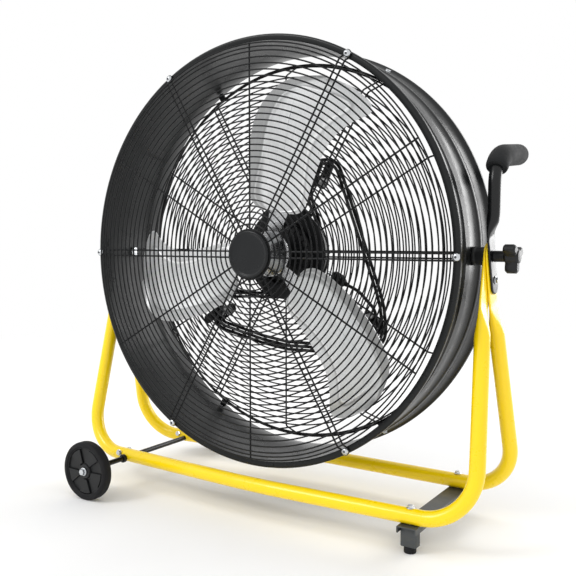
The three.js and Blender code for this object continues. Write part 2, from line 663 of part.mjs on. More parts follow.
// Flat front grille with six screw eyes that step back onto the lip of the drum.
function frontGrille() {
  const rings = ringRadii(102, GRILLE_RADIUS - WIRE / 2, 6);
  const net = netPlate(grilleShape(rings, GRILLE_RADIUS, GRILLE_HUB), GRILLE_FRONT);
  const seat = -HALF_DEPTH - GAP;
  const parts = [net];
  const holes = [];
  for (let i = 0; i < 6; i += 1) {
    const degrees = i * SPOKE_STEP;
    const tongueDepth = seat - GRILLE_FRONT;
    parts.push(boxAt(6, tongueDepth, 12, GRILLE_RADIUS + 0.4, GRILLE_FRONT + tongueDepth / 2, 0)
      .rotateY(-rad(degrees)));
    const eye = polar(SCREW_CIRCLE, degrees, seat - 3);
    parts.push(turnedY(cylinderProfile(8.5, 0, 3), 8).translate(eye.x, eye.y, eye.z));
    holes.push(turnedY(cylinderProfile(2.5 + 2 * GAP, -2, 5), 8).translate(eye.x, eye.y, eye.z));
  }
  addPiece(drum, 'front_grille', cut(join(...parts), ...holes), wireBlack());
}

// Round badge with a raised rim, on the centre of the front grille.
function hubBadge() {
  const back = GRILLE_FRONT - GAP;
  const profile = [[0, back], [47, back], [47, back - 2], [44.5, back - 5], [41, back - 5],
    [38.5, back - 2.6], [0, back - 2.6]];
  addPiece(drum, 'hub_badge', turnedY(profile, 24), plasticBlack());
}

// Rear guard: a flat face inside the drum, and legs that slope back to its rim ring.
function rearGuard() {
  const rings = ringRadii(185, GUARD_FLAT_RADIUS - WIRE / 2, 3);
  const net = netPlate(guardFace(rings), GUARD_FRONT);
  const parts = [net];
  for (let i = 0; i < 6; i += 1) {
    const degrees = i * SPOKE_STEP;
    for (const offset of [-PAIR_OFFSET, PAIR_OFFSET]) parts.push(guardLeg(degrees, offset));
    parts.push(guardLeg(degrees + SPOKE_STEP / 2, 0));
    parts.push(boxAt(14, 9, 13, GUARD_RIM_RADIUS + 8, GUARD_RIM_Y, 0).rotateY(-rad(degrees)));
  }
  const [r, y, half] = [GUARD_RIM_RADIUS, GUARD_RIM_Y, 3];
  parts.push(turnedY([[r - half, y - half], [r + half, y - half], [r + half, y + half],
    [r - half, y + half], [r - half, y - half]], 36));
  addPiece(drum, 'rear_guard', join(...parts), wireBlack());
}

function guardFace(rings) {
  const shape = grilleShape(rings, GUARD_FLAT_RADIUS, GUARD_HUB + 4);
  shape.holes.push(new THREE.Path().setFromPoints(regularShape(GUARD_HUB - 24, 24, 0).getPoints()));
  return shape;
}

function guardLeg(degrees, offset) {
  const half = WIRE / 2;
  const inner = [GUARD_FLAT_RADIUS - 4, GUARD_FRONT];
  const outer = [GUARD_RIM_RADIUS - 1, GUARD_RIM_Y - 1];
  const ring = ([r, y]) => [[-half, 0], [half, 0], [half, WIRE], [-half, WIRE]]
    .map(([across, rise]) => vec(r + (rise ? -1.5 : 1.5), y + rise, offset + across));
  return loft([ring(inner), ring(outer)]).rotateY(-rad(degrees));
}

// ---------- screws of the grille and the guard ----------
function grilleScrews() {
  for (let i = 0; i < 6; i += 1) {
    const seat = -HALF_DEPTH - 3 - 2 * GAP;
    const head = [[0, -4.2], [3.4, -4], [6.2, -2.4], [7.2, 0], [2.5, 0], [2.5, 9], [0, 9]];
    const place = polar(SCREW_CIRCLE, i * SPOKE_STEP, seat);
    addPiece(drum, `front_screw_${i + 1}`,
      turnedY(head, 8).translate(place.x, place.y, place.z), zincSteel());
    const wall = BODY_RADIUS + 3.5 + GAP;
    const bolt = hexBoltY(8, 4.5, 2.5, 5).rotateZ(Math.PI / 2);
    bolt.translate(wall, 0, 0).rotateY(-rad(i * SPOKE_STEP)).translate(0, GUARD_RIM_Y, 0);
    addPiece(drum, `rear_screw_${i + 1}`, bolt, zincSteel());
  }
}

// ---------- fan rotor ----------
// Blade outline: radius, then its edges in degrees on the front-leaning and rear-leaning side.
const BLADE_OUTLINE = [
  [88, 20, -7], [96, 28, -14], [115, 31, -18], [140, 29.5, -18], [185, 26, -17],
  [230, 22.5, -16], [275, 18, -17], [310, 14.5, -20], [335, 11, -22.5], [350, 7.5, -23],
  [358, 4, -20], [363, -2, -12],
];
const ARM_OUTLINE = [[38, 14, -12], [60, 15, -13], [90, 12, -12], [104, 9, -9], [110, 4, -4]];

// Depth of the twisted, slightly cupped blade surface at an angle from its centre line.
function bladeDepth(radius, degrees, share) {
  const cup = 5 * Math.sin(Math.PI * share) * Math.min(1, (radius - 60) / 120);
  return BLADE_MID_Y + BLADE_TWIST * rad(degrees) - Math.max(0, cup);
}

// Sheet between two edges that follows the blade surface, set back by `shift`.
function twistedSheet(outline, heading, shift, thick, across) {
  const row = ([radius, ahead, behind], offset) => {
    const points = [];
    for (let i = 0; i <= across; i += 1) {
      const share = i / across;
      const degrees = THREE.MathUtils.lerp(behind, ahead, share);
      points.push(polar(radius, heading + degrees, bladeDepth(radius, degrees, share) + shift + offset));
    }
    return points;
  };
  return loft(outline.map((station) => [...row(station, 0), ...row(station, thick).reverse()]));
}

function fanRotor() {
  const arms = [];
  for (let i = 0; i < BLADE_COUNT; i += 1) {
    const heading = FIRST_BLADE + 120 * i;
    addPiece(drum, `fan_blade_${i + 1}`,
      twistedSheet(BLADE_OUTLINE, heading, 0, BLADE_THICK, 5), aluminium());
    arms.push(twistedSheet(ARM_OUTLINE, heading, BLADE_THICK + 4 * GAP, 3, 5));
  }
  const cone = [[0, -88], [22, -88], [29, -84], [33, -74], [40, -58], [49, -38], [54, -24], [54, -14],
    [50, -8], [0, -8]];
  const bore = turnedY(cylinderProfile(SHAFT_RADIUS + GAP, -72, 10), 12);
  addPiece(drum, 'fan_hub', cut(join(turnedY(cone, 24), ...arms), bore), aluminium());
  const shaft = turnedY(cylinderProfile(SHAFT_RADIUS, -70, MOTOR_FRONT + 14), 12);
  addPiece(drum, 'motor_shaft', shaft, zincSteel());
}

const SHAFT_RADIUS = 7;
const MOTOR_FRONT = 12;

// ---------- motor and its bracket ----------
const BRACKET_FRONT = GUARD_FRONT + WIRE + GAP;
const BRACKET_THICK = 3;
const MOTOR_SPLIT = BRACKET_FRONT + BRACKET_THICK + GAP;
const MOTOR_BODY_END = 58;
const MOTOR_END = 77;

function motorBracket() {
  const arms = [60, 120, 240, 300].map((degrees) =>
    boxAt(60, BRACKET_THICK, 34, 92, BRACKET_FRONT + BRACKET_THICK / 2, 0).rotateY(-rad(degrees)));
  const heads = [60, 120, 240, 300].flatMap((degrees) => [108].map((radius) => {
    const place = polar(radius, degrees, BRACKET_FRONT + BRACKET_THICK + 2.4);
    return new THREE.CylinderGeometry(6, 6, 5, 6).translate(place.x, place.y, place.z);
  }));
  const ring = turnedY([[64, BRACKET_FRONT], [88, BRACKET_FRONT], [88, BRACKET_FRONT + BRACKET_THICK],
    [64, BRACKET_FRONT + BRACKET_THICK], [64, BRACKET_FRONT]], 24);
  addPiece(drum, 'motor_bracket', join(ring, ...arms, ...heads), blackPaint());
}

function motor() {
  const r = MOTOR_RADIUS;
  const frontCover = [[SHAFT_RADIUS + 1, MOTOR_FRONT], [18, MOTOR_FRONT], [22, MOTOR_FRONT + 3],
    [50, MOTOR_FRONT + 5], [60, MOTOR_FRONT + 10], [62, MOTOR_SPLIT - GAP], [SHAFT_RADIUS + 1, MOTOR_SPLIT - GAP],
    [SHAFT_RADIUS + 1, MOTOR_FRONT]];
  const slots = [];
  for (let i = 0; i < 8; i += 1) {
    slots.push(boxAt(16, 8, 4, 44, MOTOR_FRONT + 5, 0).rotateY(-rad(22.5 + 45 * i)));
  }
  addPiece(drum, 'motor_front_cover', cut(turnedY(frontCover, 24), ...slots), plasticBlack());
  const body = [[SHAFT_RADIUS + 1, MOTOR_SPLIT], [r - 3, MOTOR_SPLIT], [r, MOTOR_SPLIT + 3],
    [r, MOTOR_BODY_END], [0, MOTOR_BODY_END], [0, MOTOR_SPLIT + 4], [SHAFT_RADIUS + 1, MOTOR_SPLIT + 4],
    [SHAFT_RADIUS + 1, MOTOR_SPLIT]];
  addPiece(drum, 'motor_body', turnedY(body, 24), blackPaint());
  const from = MOTOR_BODY_END + GAP;
  const rearCover = [[0, from], [r - 0.5, from], [r - 1.5, from + 6], [r - 8, from + 13],
    [r - 22, MOTOR_END - 1], [r - 30, MOTOR_END], [0, MOTOR_END]];
  const rearSlots = [];
  for (let i = 0; i < 8; i += 1) {
    rearSlots.push(boxAt(14, 14, 3.5, r - 3, from + 13, 0).rotateY(-rad(22.5 + 45 * i)));
  }
  addPiece(drum, 'motor_rear_cover', cut(turnedY(rearCover, 24), ...rearSlots), plasticBlack());
}

// Speed switch on the back of the motor: a small box and its pointer knob.
const SWITCH = { x: -26, z: 22, width: 44, height: 56, depth: 20 };

function speedSwitch() {
  const from = MOTOR_END + GAP;
  const box = new THREE.ExtrudeGeometry(roundedRect(SWITCH.width, SWITCH.height, 6), {
    depth: SWITCH.depth - 2, bevelEnabled: true, bevelThickness: 2, bevelSize: 2, bevelOffset: -2,
    bevelSegments: 1, curveSegments: 3,
  }).rotateX(Math.PI / 2);
  box.computeBoundingBox();
  box.translate(SWITCH.x, from - box.boundingBox.min.y, SWITCH.z);
  box.computeBoundingBox();
  const face = box.boundingBox.max.y;
  const spindleHole = turnedY(cylinderProfile(3 + GAP, face - 8, face + 4), 8)
    .translate(SWITCH.x, 0, SWITCH.z);
  addPiece(drum, 'switch_box', cut(box, spindleHole), plasticBlack());
  const skirt = turnedY([[0, -6], [3, -6], [3, GAP * 2], [15, GAP * 2], [14, 4], [12, 5], [0, 5]], 24);
  const pointer = boxAt(6, 10, 25, 0, 9, 0);
  const knob = join(skirt, pointer).translate(SWITCH.x, face, SWITCH.z);
  addPiece(drum, 'speed_knob', knob, plasticBlack());
}

// ---------- cord and its hooks ----------
const CORD_Y = 62;             // depth of the turns on the hooks
const BEHIND_MOTOR_Y = 85;
const CORD_TURNS = 2;

// Corners of one turn round the hooks and behind the motor: x, z, depth and bend radius.
// The first and last are points on the same straight stretch.
const TURN_CORNERS = [
  [-120, -89, 68, 0],
  [-213, -94, CORD_Y, 34],
  [-211, -162, CORD_Y, 34],
  [-20, -206, CORD_Y, 420],
  [208, -186, CORD_Y, 36],
  [205, -105, CORD_Y, 200],
  [98, 190, CORD_Y, 27],
  [31, 190, CORD_Y, 27],
  [31, 112, CORD_Y + 4, 60],
  [42, 60, BEHIND_MOTOR_Y, 60],
  [30, -86, BEHIND_MOTOR_Y, 34],
  [-60, -89, BEHIND_MOTOR_Y - 2, 80],
  [-120, -89, 68, 0],
];
const CORD_TURN = filletPath(
  TURN_CORNERS.map(([x, z, y]) => vec(x, y, z)),
  TURN_CORNERS.slice(1, -1).map((corner) => corner[3]),
  2,
).slice(0, -1);

// Point on the winding after a number of steps; each turn lies one pitch inside the last.
function windingPoint(step) {
  const count = CORD_TURN.length;
  const at = (i) => CORD_TURN[((i % count) + count) % count];
  const along = at(step + 1).clone().sub(at(step - 1)).setY(0).normalize();
  const out = CORD_PITCH * (1 - step / count);
  return at(step).clone().add(vec(along.z * out, 0, -along.x * out));
}

// Steps of the last turn up to the end of the bend round the lower right hook.
const lastSteps = () => CORD_TURN.findIndex((p) => p.x > 200 && p.z > -152) + 1;

// Strain relief under the motor, pointing to the wheel side.
const GLAND = { blockX: 18, endX: -12, y: 46, z: -91 };

// Gland, under the motor to the lower left hook, round the hooks, then in behind the motor.
function cordPath() {
  const exit = vec(GLAND.endX - GAP, GLAND.y, GLAND.z);
  const path = [exit, exit.clone().add(vec(-2 * CORD_RADIUS, 0, 0))];
  path.push(vec(-60, GLAND.y + 2, -97), vec(-100, GLAND.y + 6, -94), vec(-140, 58, -84));
  const steps = CORD_TURNS * CORD_TURN.length + lastSteps();
  for (let step = 1; step < steps; step += 1) path.push(windingPoint(step));
  const tail = [path.pop(), vec(187, CORD_Y + 2, -112), vec(138, 88, -78), vec(112, 91, -67)];
  path.push(...filletPath(tail, [30, 60], 3));
  return path;
}

const pathLength = (path) =>
  path.slice(1).reduce((sum, point, i) => sum + point.distanceTo(path[i]), 0);

// Least clear distance between stretches of the cord that aren't neighbours on it.
function leastSelfGap(path) {
  const fine = [];
  for (let i = 0; i + 1 < path.length; i += 1) {
    const pieces = Math.ceil(path[i].distanceTo(path[i + 1]) / 2);
    for (let k = 0; k < pieces; k += 1) fine.push(path[i].clone().lerp(path[i + 1], k / pieces));
  }
  let least = Infinity;
  for (let i = 0; i < fine.length; i += 1) {
    for (let j = i + 20; j < fine.length; j += 1) least = Math.min(least, fine[i].distanceTo(fine[j]));
  }
  return least - 2 * CORD_RADIUS;
}

function powerCord() {
  const path = cordPath();
  addPiece(drum, 'power_cord', roundTube(path, CORD_RADIUS, vec(0, 1, 0), 6), rubberBlack());
  console.log(`cord length ${pathLength(path).toFixed(0)} mm, least gap ${leastSelfGap(path).toFixed(2)} mm`);
  const block = boxAt(24, 16, 20, GLAND.blockX, GLAND.y, GLAND.z + 4);
  const sleeve = turnedX([[0, GLAND.endX], [4.6, GLAND.endX], [6.4, GLAND.endX + 14],
    [6.4, GLAND.blockX], [0, GLAND.blockX]], 12).translate(0, GLAND.y, GLAND.z);
  const motorSkin = turnedY(cylinderProfile(MOTOR_RADIUS + GAP, 0, MOTOR_END), 40);
  addPiece(drum, 'cord_gland', cut(join(block, sleeve), motorSkin), rubberBlack());
  powerPlug(path);
}

// Three-pin plug in line with the end of the cord.
function powerPlug(path) {
  const direction = directionAt(path, path.length - 1);
  const body = loft([[3.6, 4.2, 0], [5, 5.5, 8], [11, 9, 16], [14, 11, 24], [14.5, 11.5, 40], [13, 10.5, 42]]
    .map(([wide, thick, along]) =>
      sectionRing(vec(0, along, 0), vec(0, 1, 0), vec(0, 0, 1), [wide, thick], 12, 0.3)));
  const blades = [-1, 1].map((hand) => boxAt(1.6, 18, 6.4, hand * 6.4, 50, 2.2));
  const earth = turnedY(cylinderProfile(2.4, 40, 62), 8).translate(0, 0, -6);
  const plug = join(body, ...blades, earth);
  const turn = new THREE.Quaternion().setFromUnitVectors(vec(0, 1, 0), direction);
  const place = path.at(-1).clone().addScaledVector(direction, GAP);
  plug.applyQuaternion(turn).translate(place.x, place.y, place.z);
  addPiece(drum, 'power_plug', plug, rubberBlack());
}

// Plastic hook: a clip bar on the guard wires, a round post and a retaining bar.
function cordHook(postRadius) {
  const base = GUARD_FRONT + WIRE + GAP;
  const clip = plateY(roundedRect(68, 22, 8), base, 4).translate(14, 0, 0);
  const post = turnedY(cylinderProfile(postRadius, base + 2, CORD_Y + 10), 10);
  const bar = plateY(roundedRect(66, 20, 9), CORD_Y + 8, 5).translate(14, 0, 0);
  return join(clip, post, bar);
}

const HOOKS = [
  { x: 62, z: 149, heading: 66, post: 14 },
  { x: 171, z: -130, heading: -32, post: 11 },
  { x: -180, z: -130, heading: 213, post: 13 },
];

function cordHooks() {
  HOOKS.forEach(({ x, z, heading, post }, i) => {
    addPiece(drum, `cord_hook_${i + 1}`,
      cordHook(post).rotateY(-rad(heading)).translate(x, 0, z), plasticBlack());
  });
}

standTubes();
wheelsAndAxle();
footAssembly();
pushHandle();
drumShell();
pivots();
frontGrille();
hubBadge();
rearGuard();
grilleScrews();
fanRotor();
motorBracket();
motor();
speedSwitch();
powerCord();
cordHooks();

export default root;
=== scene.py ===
import json
import math

import bmesh
import bpy
from mathutils import Matrix, Vector


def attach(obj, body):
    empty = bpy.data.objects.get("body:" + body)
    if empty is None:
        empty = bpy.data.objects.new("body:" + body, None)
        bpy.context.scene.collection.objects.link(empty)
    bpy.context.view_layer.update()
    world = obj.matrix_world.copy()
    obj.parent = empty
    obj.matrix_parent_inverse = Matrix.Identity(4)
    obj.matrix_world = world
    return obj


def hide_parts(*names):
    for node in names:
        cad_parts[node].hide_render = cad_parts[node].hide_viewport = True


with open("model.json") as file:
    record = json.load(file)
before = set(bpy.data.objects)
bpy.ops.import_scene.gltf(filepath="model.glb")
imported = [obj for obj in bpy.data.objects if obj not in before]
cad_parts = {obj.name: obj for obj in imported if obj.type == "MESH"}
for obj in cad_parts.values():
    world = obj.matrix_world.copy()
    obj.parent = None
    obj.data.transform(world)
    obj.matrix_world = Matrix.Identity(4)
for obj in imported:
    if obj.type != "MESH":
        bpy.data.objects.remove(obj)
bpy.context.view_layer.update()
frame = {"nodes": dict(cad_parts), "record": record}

MM = 0.001
ALONG_X = Vector((1, 0, 0))
ALONG_Y = Vector((0, 1, 0))
UPWARD = Vector((0, 0, 1))
PIVOT_Z = 511.0  # tilt axis above the floor
DRUM_CENTRE = Vector((0, 0, PIVOT_Z))
RIM_R = 420.0  # rolled lips of the drum
BODY_R = 410.0  # outside of the drum wall
HALF_DEPTH = 95.0  # from the drum's middle to each lip
GRILLE_Y = -106.8  # middle of the ring wires of the front grille
GRILLE_RINGS = 29
EDGE_RINGS = (394.5, 401.6)  # radii of the two close rings at the grille's edge
RING_STEP = 11.72  # between neighbouring ring wires
FIRST_RING = 58.7
RING_WIRE = 1.5  # half thickness of the ring wires
SPOKE_WIRE = 1.75  # and of the spokes
PAIR_OFFSET = 6.0  # of each wire of a spoke pair from their middle line
SCREW_CIRCLE = 414.0
GUARD_Y = 24.0  # flat face of the rear guard
GUARD_RINGS = 23
FIRST_GUARD_RING = 101
GUARD_RIM_R = 392.0
GUARD_RIM_Y = 72.0
MOTOR_R = 82.0
TUBE_R = 14.0  # yellow tubes of the stand
WHEEL_R = 60.6
AXLE_X = -332.0
FOOT_X = 345.0
BADGE_BACK = -108.8
FIRST_BLADE = 75.0  # degrees from the tilt axis
CORD_R = 3.4


# --- camera ---
def add_object(name, data):
    obj = bpy.data.objects.new(name, data)
    bpy.context.scene.collection.objects.link(obj)
    return obj


def aim(obj, location, look):
    obj.location = location
    obj.rotation_euler = Vector(look).to_track_quat("-Z", "Y").to_euler()


def make_camera():
    data = bpy.data.cameras.new("camera")
    data.lens = 48.21
    data.sensor_width = 36.0
    data.sensor_fit = "AUTO"
    data.clip_end = 100.0
    camera = add_object("camera", data)
    aim(camera, (0.8658, -1.3294, 0.5426), (-0.5354, 0.8421, -0.0645))
    bpy.context.scene.camera = camera


make_camera()


# --- materials ---
class Nodes:
    """Short calls for building one material's node tree."""

    def __init__(self, name):
        self.material = bpy.data.materials.new(name)
        self.material.use_nodes = True
        self.tree = self.material.node_tree
        self.shader = self.tree.nodes["Principled BSDF"]

    def add(self, kind, **values):
        node = self.tree.nodes.new(kind)
        for key, value in values.items():
            socket = node.inputs.get(key.replace("_", " "))
            if socket is not None:
                socket.default_value = value
            else:
                setattr(node, key, value)
        return node

    def link(self, source, target):
        self.tree.links.new(source, target)

    def coordinates(self, kind="Object", scale=(1, 1, 1)):
        place = self.add("ShaderNodeMapping")
        place.inputs["Scale"].default_value = scale
        self.link(self.add("ShaderNodeTexCoord").outputs[kind], place.inputs["Vector"])
        return place.outputs["Vector"]

    def noise(self, vector, scale, detail=3.0, roughness=0.5):
        node = self.add("ShaderNodeTexNoise", Scale=scale, Detail=detail, Roughness=roughness)
        self.link(vector, node.inputs["Vector"])
        return node.outputs["Fac"]

    def ramp(self, factor, dark, light):
        node = self.add("ShaderNodeValToRGB")
        for element, place, colour in zip(node.color_ramp.elements, (0.3, 0.7), (dark, light)):
            element.position = place
            element.color = (*colour, 1.0)
        self.link(factor, node.inputs["Fac"])
        return node.outputs["Color"]

    def multiply(self, first, second):
        node = self.add("ShaderNodeMix", data_type="RGBA", blend_type="MULTIPLY")
        node.inputs[0].default_value = 1.0
        self.link(first, node.inputs[6])
        self.link(second, node.inputs[7])
        return node.outputs[2]

    def span(self, factor, low, high, start=0.3, end=0.7):
        node = self.add("ShaderNodeMapRange", From_Min=start, From_Max=end, To_Min=low, To_Max=high)
        self.link(factor, node.inputs["Value"])
        return node.outputs["Result"]

    def bump(self, height, strength, distance):
        node = self.add("ShaderNodeBump", Strength=strength, Distance=distance)
        self.link(height, node.inputs["Height"])
        self.link(node.outputs["Normal"], self.shader.inputs["Normal"])

    def paint(self, colour):
        self.link(colour, self.shader.inputs["Base Color"])

    def gloss(self, factor, low, high):
        self.link(self.span(factor, low, high), self.shader.inputs["Roughness"])

    def set(self, **values):
        for key, value in values.items():
            self.shader.inputs[key.replace("_", " ")].default_value = value


def shade(colour, factor):
    return tuple(min(1.0, channel * factor) for channel in colour)


def coated(name, colour, roughness, spread, grain, grain_depth, specular=0.5, coat=0.0, tone=0.12,
           patch=6.0):
    """Paint, plastic or rubber: slow colour drift, patchy gloss and a fine surface grain."""
    n = Nodes(name)
    where = n.coordinates()
    drift = n.noise(where, patch, 4.0)
    n.paint(n.ramp(drift, shade(colour, 1 - tone), shade(colour, 1 + tone)))
    n.gloss(n.noise(where, patch * 5, 5.0, 0.6), roughness - spread, roughness + spread)
    n.bump(n.noise(where, grain, 2.0), 0.25, grain_depth)
    n.set(Specular_IOR_Level=specular, Coat_Weight=coat)
    if coat:
        n.set(Coat_Roughness=0.12)
    return n.material


def brushed_aluminium(name):
    """Blade sheet: fine lines along each blade, cloudy patches, and painted light and shade that follow its
    pressed shape.
    """
    n = Nodes(name)
    lines = n.noise(n.coordinates("UV", (6.0, 420.0, 1.0)), 1.0, 4.0, 0.6)
    clouds = n.noise(n.coordinates(), 9.0, 4.0)
    sheet = n.ramp(clouds, (0.84, 0.85, 0.84), (0.97, 0.97, 0.96))
    streaks = n.ramp(lines, (0.86, 0.87, 0.88), (1.0, 1.0, 1.0))
    # Vertex colour with painted highlights along the pressed ridges, and painted shade at their feet and on
    # the folded trailing strip.
    painted_light = n.add("ShaderNodeVertexColor", layer_name="pressing_light_and_shade").outputs["Color"]
    n.paint(n.multiply(n.multiply(sheet, streaks), painted_light))
    n.gloss(lines, 0.26, 0.46)
    n.bump(lines, 0.12, 0.0004)
    n.set(Metallic=0.55)
    return n.material


def turned_metal(name, colour, roughness, rings=180.0):
    """Polished metal with faint turning rings about the Y axis."""
    n = Nodes(name)
    marks = n.noise(n.coordinates("Object", (3.0, rings, 3.0)), 1.0, 3.0)
    n.paint(n.ramp(marks, shade(colour, 0.82), colour))
    n.gloss(marks, roughness, roughness + 0.1)
    n.bump(marks, 0.08, 0.0002)
    n.set(Metallic=1.0)
    return n.material


def foam(name):
    """Closed-cell sleeve: matte, with small pits."""
    n = Nodes(name)
    where = n.coordinates()
    cells = n.add("ShaderNodeTexVoronoi", Scale=420.0)
    n.link(where, cells.inputs["Vector"])
    n.paint(n.ramp(n.noise(where, 30.0), (0.006, 0.0065, 0.007), (0.014, 0.015, 0.016)))
    n.gloss(n.noise(where, 60.0), 0.75, 0.95)
    n.bump(cells.outputs["Distance"], 0.5, 0.0008)
    n.set(Sheen_Weight=0.08, Specular_IOR_Level=0.2)
    return n.material


# Name, colour, roughness and its spread, scale and depth of the grain, specular, coat, tone.
YELLOW = coated("yellow_paint", (1.0, 0.70, 0.0), 0.30, 0.06, 500.0, 0.0002, 0.4, 0.3, 0.03)
DRUM_BLACK = coated("drum_black", (0.0085, 0.0095, 0.0098), 0.30, 0.07, 420.0, 0.0003, 0.24)
WIRE_BLACK = coated("wire_black", (0.0045, 0.005, 0.0055), 0.36, 0.06, 700.0, 0.0001, 0.22)
PAINT_BLACK = coated("paint_black", (0.005, 0.0055, 0.006), 0.27, 0.07, 500.0, 0.0002, 0.35)
MOTOR_BLACK = coated("motor_black", (0.004, 0.0045, 0.005), 0.36, 0.08, 350.0, 0.0004, 0.25)
PLASTIC = coated("plastic_black", (0.006, 0.0065, 0.007), 0.40, 0.07, 900.0, 0.0004, 0.35)
BADGE = coated("badge_black", (0.009, 0.010, 0.011), 0.26, 0.05, 300.0, 0.0001, 0.25)
RUBBER = coated("rubber_black", (0.008, 0.008, 0.009), 0.70, 0.10, 600.0, 0.0004, 0.25)
CORD = coated("cord_black", (0.003, 0.003, 0.0035), 0.42, 0.06, 500.0, 0.0002, 0.2)
GREY = coated("foot_grey", (0.050, 0.055, 0.057), 0.42, 0.08, 450.0, 0.0003)
ALUMINIUM = brushed_aluminium("blade_aluminium")
SPUN = turned_metal("spun_aluminium", (0.66, 0.67, 0.68), 0.16)
ZINC = turned_metal("zinc_steel", (0.66, 0.68, 0.70), 0.22, 60.0)
FOAM = foam("grip_foam")

SLOT_OF = {
    YELLOW: "yellow_paint", DRUM_BLACK: "black_paint", WIRE_BLACK: "black_wire",
    PAINT_BLACK: "black_paint", MOTOR_BLACK: "black_paint", PLASTIC: "black_plastic",
    BADGE: "black_plastic", RUBBER: "black_rubber", CORD: "black_rubber", GREY: "grey_paint",
    ALUMINIUM: "aluminium", SPUN: "aluminium", ZINC: "zinc_steel", FOAM: "black_foam",
}
for node in frame["record"]["subparts"]:
    finish = next(m for m, slot in SLOT_OF.items() if slot == node["material_slot"])
    solid = frame["nodes"][node["node"]]
    solid.data.materials.clear()
    solid.data.materials.append(finish)


# --- shapes: each is (points, faces) in millimetres ---
def closed(profile):
    return [*profile, profile[0]]


def loft(rings, loop=False):
    """Tube of quads through rings of equal count, capped unless it closes on itself."""
    count = len(rings[0])
    points = [p for ring in rings for p in ring]
    faces = []
    for r in range(len(rings) if loop else len(rings) - 1):
        a = r * count
        b = ((r + 1) % len(rings)) * count
        for i in range(count):
            j = (i + 1) % count
            faces.append((a + i, a + j, b + j, b + i))
    if not loop:
        faces.append(tuple(range(count)))
        faces.append(tuple(reversed(range(len(points) - count, len(points)))))
    return points, faces


def basis(axis):
    axis = axis.normalized()
    side = axis.cross(UPWARD)
    if side.length < 0.1:
        side = axis.cross(ALONG_X)
    side.normalize()
    return side, axis.cross(side).normalized(), axis


def on_circle(radius, turn):
    return radius * math.cos(turn), radius * math.sin(turn)


def turned(profile, origin, axis, segments):
    """Surface of revolution of (radius, distance) points; the profile meets the axis or closes."""
    u, v, a = basis(Vector(axis))
    origin = Vector(origin)
    points, rows = [], []
    for radius, along in profile:
        if radius < 1e-6:
            rows.append([len(points)] * segments)
            points.append(origin + a * along)
            continue
        rows.append(range(len(points), len(points) + segments))
        for i in range(segments):
            turn = 2 * math.pi * i / segments
            points.append(origin + a * along + (u * math.cos(turn) + v * math.sin(turn)) * radius)
    faces = []
    for low, high in zip(rows, rows[1:]):
        for i in range(segments):
            j = (i + 1) % segments
            corners = []
            for corner in (low[i], low[j], high[j], high[i]):
                if corner not in corners:
                    corners.append(corner)
            if len(corners) > 2:
                faces.append(tuple(corners))
    return points, faces


def on_axis(profile, segments):
    """The same about the drum's axis."""
    return turned(profile, DRUM_CENTRE, ALONG_Y, segments)


def soften(profile, radius, steps=3):
    """Rounds every corner of an open (radius, distance) profile that turns sharply."""
    result = [profile[0]]
    for before, here, after in zip(profile, profile[1:], profile[2:]):
        p, q, r = Vector(before), Vector(here), Vector(after)
        d, e = (q - p), (r - q)
        reach = min(radius, d.length * 0.45, e.length * 0.45)
        if d.length < 1e-6 or e.length < 1e-6 or d.angle(e) < 0.2:
            result.append(here)
            continue
        start, end = q - d.normalized() * reach, q + e.normalized() * reach
        for i in range(steps + 1):
            t = i / steps
            result.append(tuple((1 - t) ** 2 * start + 2 * t * (1 - t) * q + t ** 2 * end))
    result.append(profile[-1])
    return result


def closed_soften(profile, radius):
    """The same for a closed profile, given without repeating its first point."""
    around = [profile[-1], *profile, profile[0]]
    inner = soften(around, radius)[1:-1]
    return closed(inner)


def fillet(corners, radii, steps):
    """Polyline with its inner corners rounded, `steps` to a quarter turn."""
    path = [corners[0].copy()]
    for i in range(1, len(corners) - 1):
        d = (corners[i] - corners[i - 1]).normalized()
        e = (corners[i + 1] - corners[i]).normalized()
        angle = d.angle(e)
        reach = radii[i - 1] * math.tan(angle / 2)
        start = corners[i] - d * reach
        inward = (e - d * math.cos(angle)).normalized()
        count = max(1, round(steps * angle / (math.pi / 2)))
        for k in range(count + 1):
            turn = angle * k / count
            path.append(start + d * (radii[i - 1] * math.sin(turn))
                        + inward * (radii[i - 1] * (1 - math.cos(turn))))
    path.append(corners[-1].copy())
    return path


def smoothstep(value, low, high):
    """Rises from 0 at `low` to 1 at `high`."""
    t = min(1.0, max(0.0, (value - low) / (high - low)))
    return t * t * (3 - 2 * t)


def densify(path, longest):
    """The same path with no step longer than `longest`."""
    result = [path[0]]
    for a, b in zip(path, path[1:]):
        count = max(1, math.ceil((b - a).length / longest))
        result += [a.lerp(b, k / count) for k in range(1, count + 1)]
    return result


def direction(path, i):
    return (path[min(i + 1, len(path) - 1)] - path[max(i - 1, 0)]).normalized()


def section(centre, along, normal, half_side, half_up, sides, square=0.0):
    """Ring round a path point, from round to a rounded rectangle."""
    up = (normal - along * normal.dot(along)).normalized()
    side = along.cross(up)
    power = 1 - 0.65 * square
    ring = []
    for i in range(sides):
        turn = 2 * math.pi * (i + 0.5) / sides
        c, s = math.cos(turn), math.sin(turn)
        ring.append(centre + side * (half_side * math.copysign(abs(c) ** power, c))
                    + up * (half_up * math.copysign(abs(s) ** power, s)))
    return ring


def tube(path, radius, sides):
    """Round tube whose rings keep one turning frame along the path."""
    up = ALONG_Y
    rings = []
    for i, point in enumerate(path):
        along = direction(path, i)
        up = (up - along * up.dot(along)).normalized()
        rings.append(section(point, along, up, radius, radius, sides))
    return loft(rings)


def wire_ring(radius, y, wire):
    """Round wire bent into a circle about the drum's axis."""
    segments, sides = 132, 8
    corners = [on_circle(wire, 2 * math.pi * k / sides) for k in range(sides)]
    rings = []
    for i in range(segments):
        turn = 2 * math.pi * i / segments
        out = Vector((math.cos(turn), 0, math.sin(turn)))
        centre = out * radius + Vector((0, y, PIVOT_Z))
        rings.append([centre + out * outer + ALONG_Y * back for outer, back in corners])
    return loft(rings, loop=True)


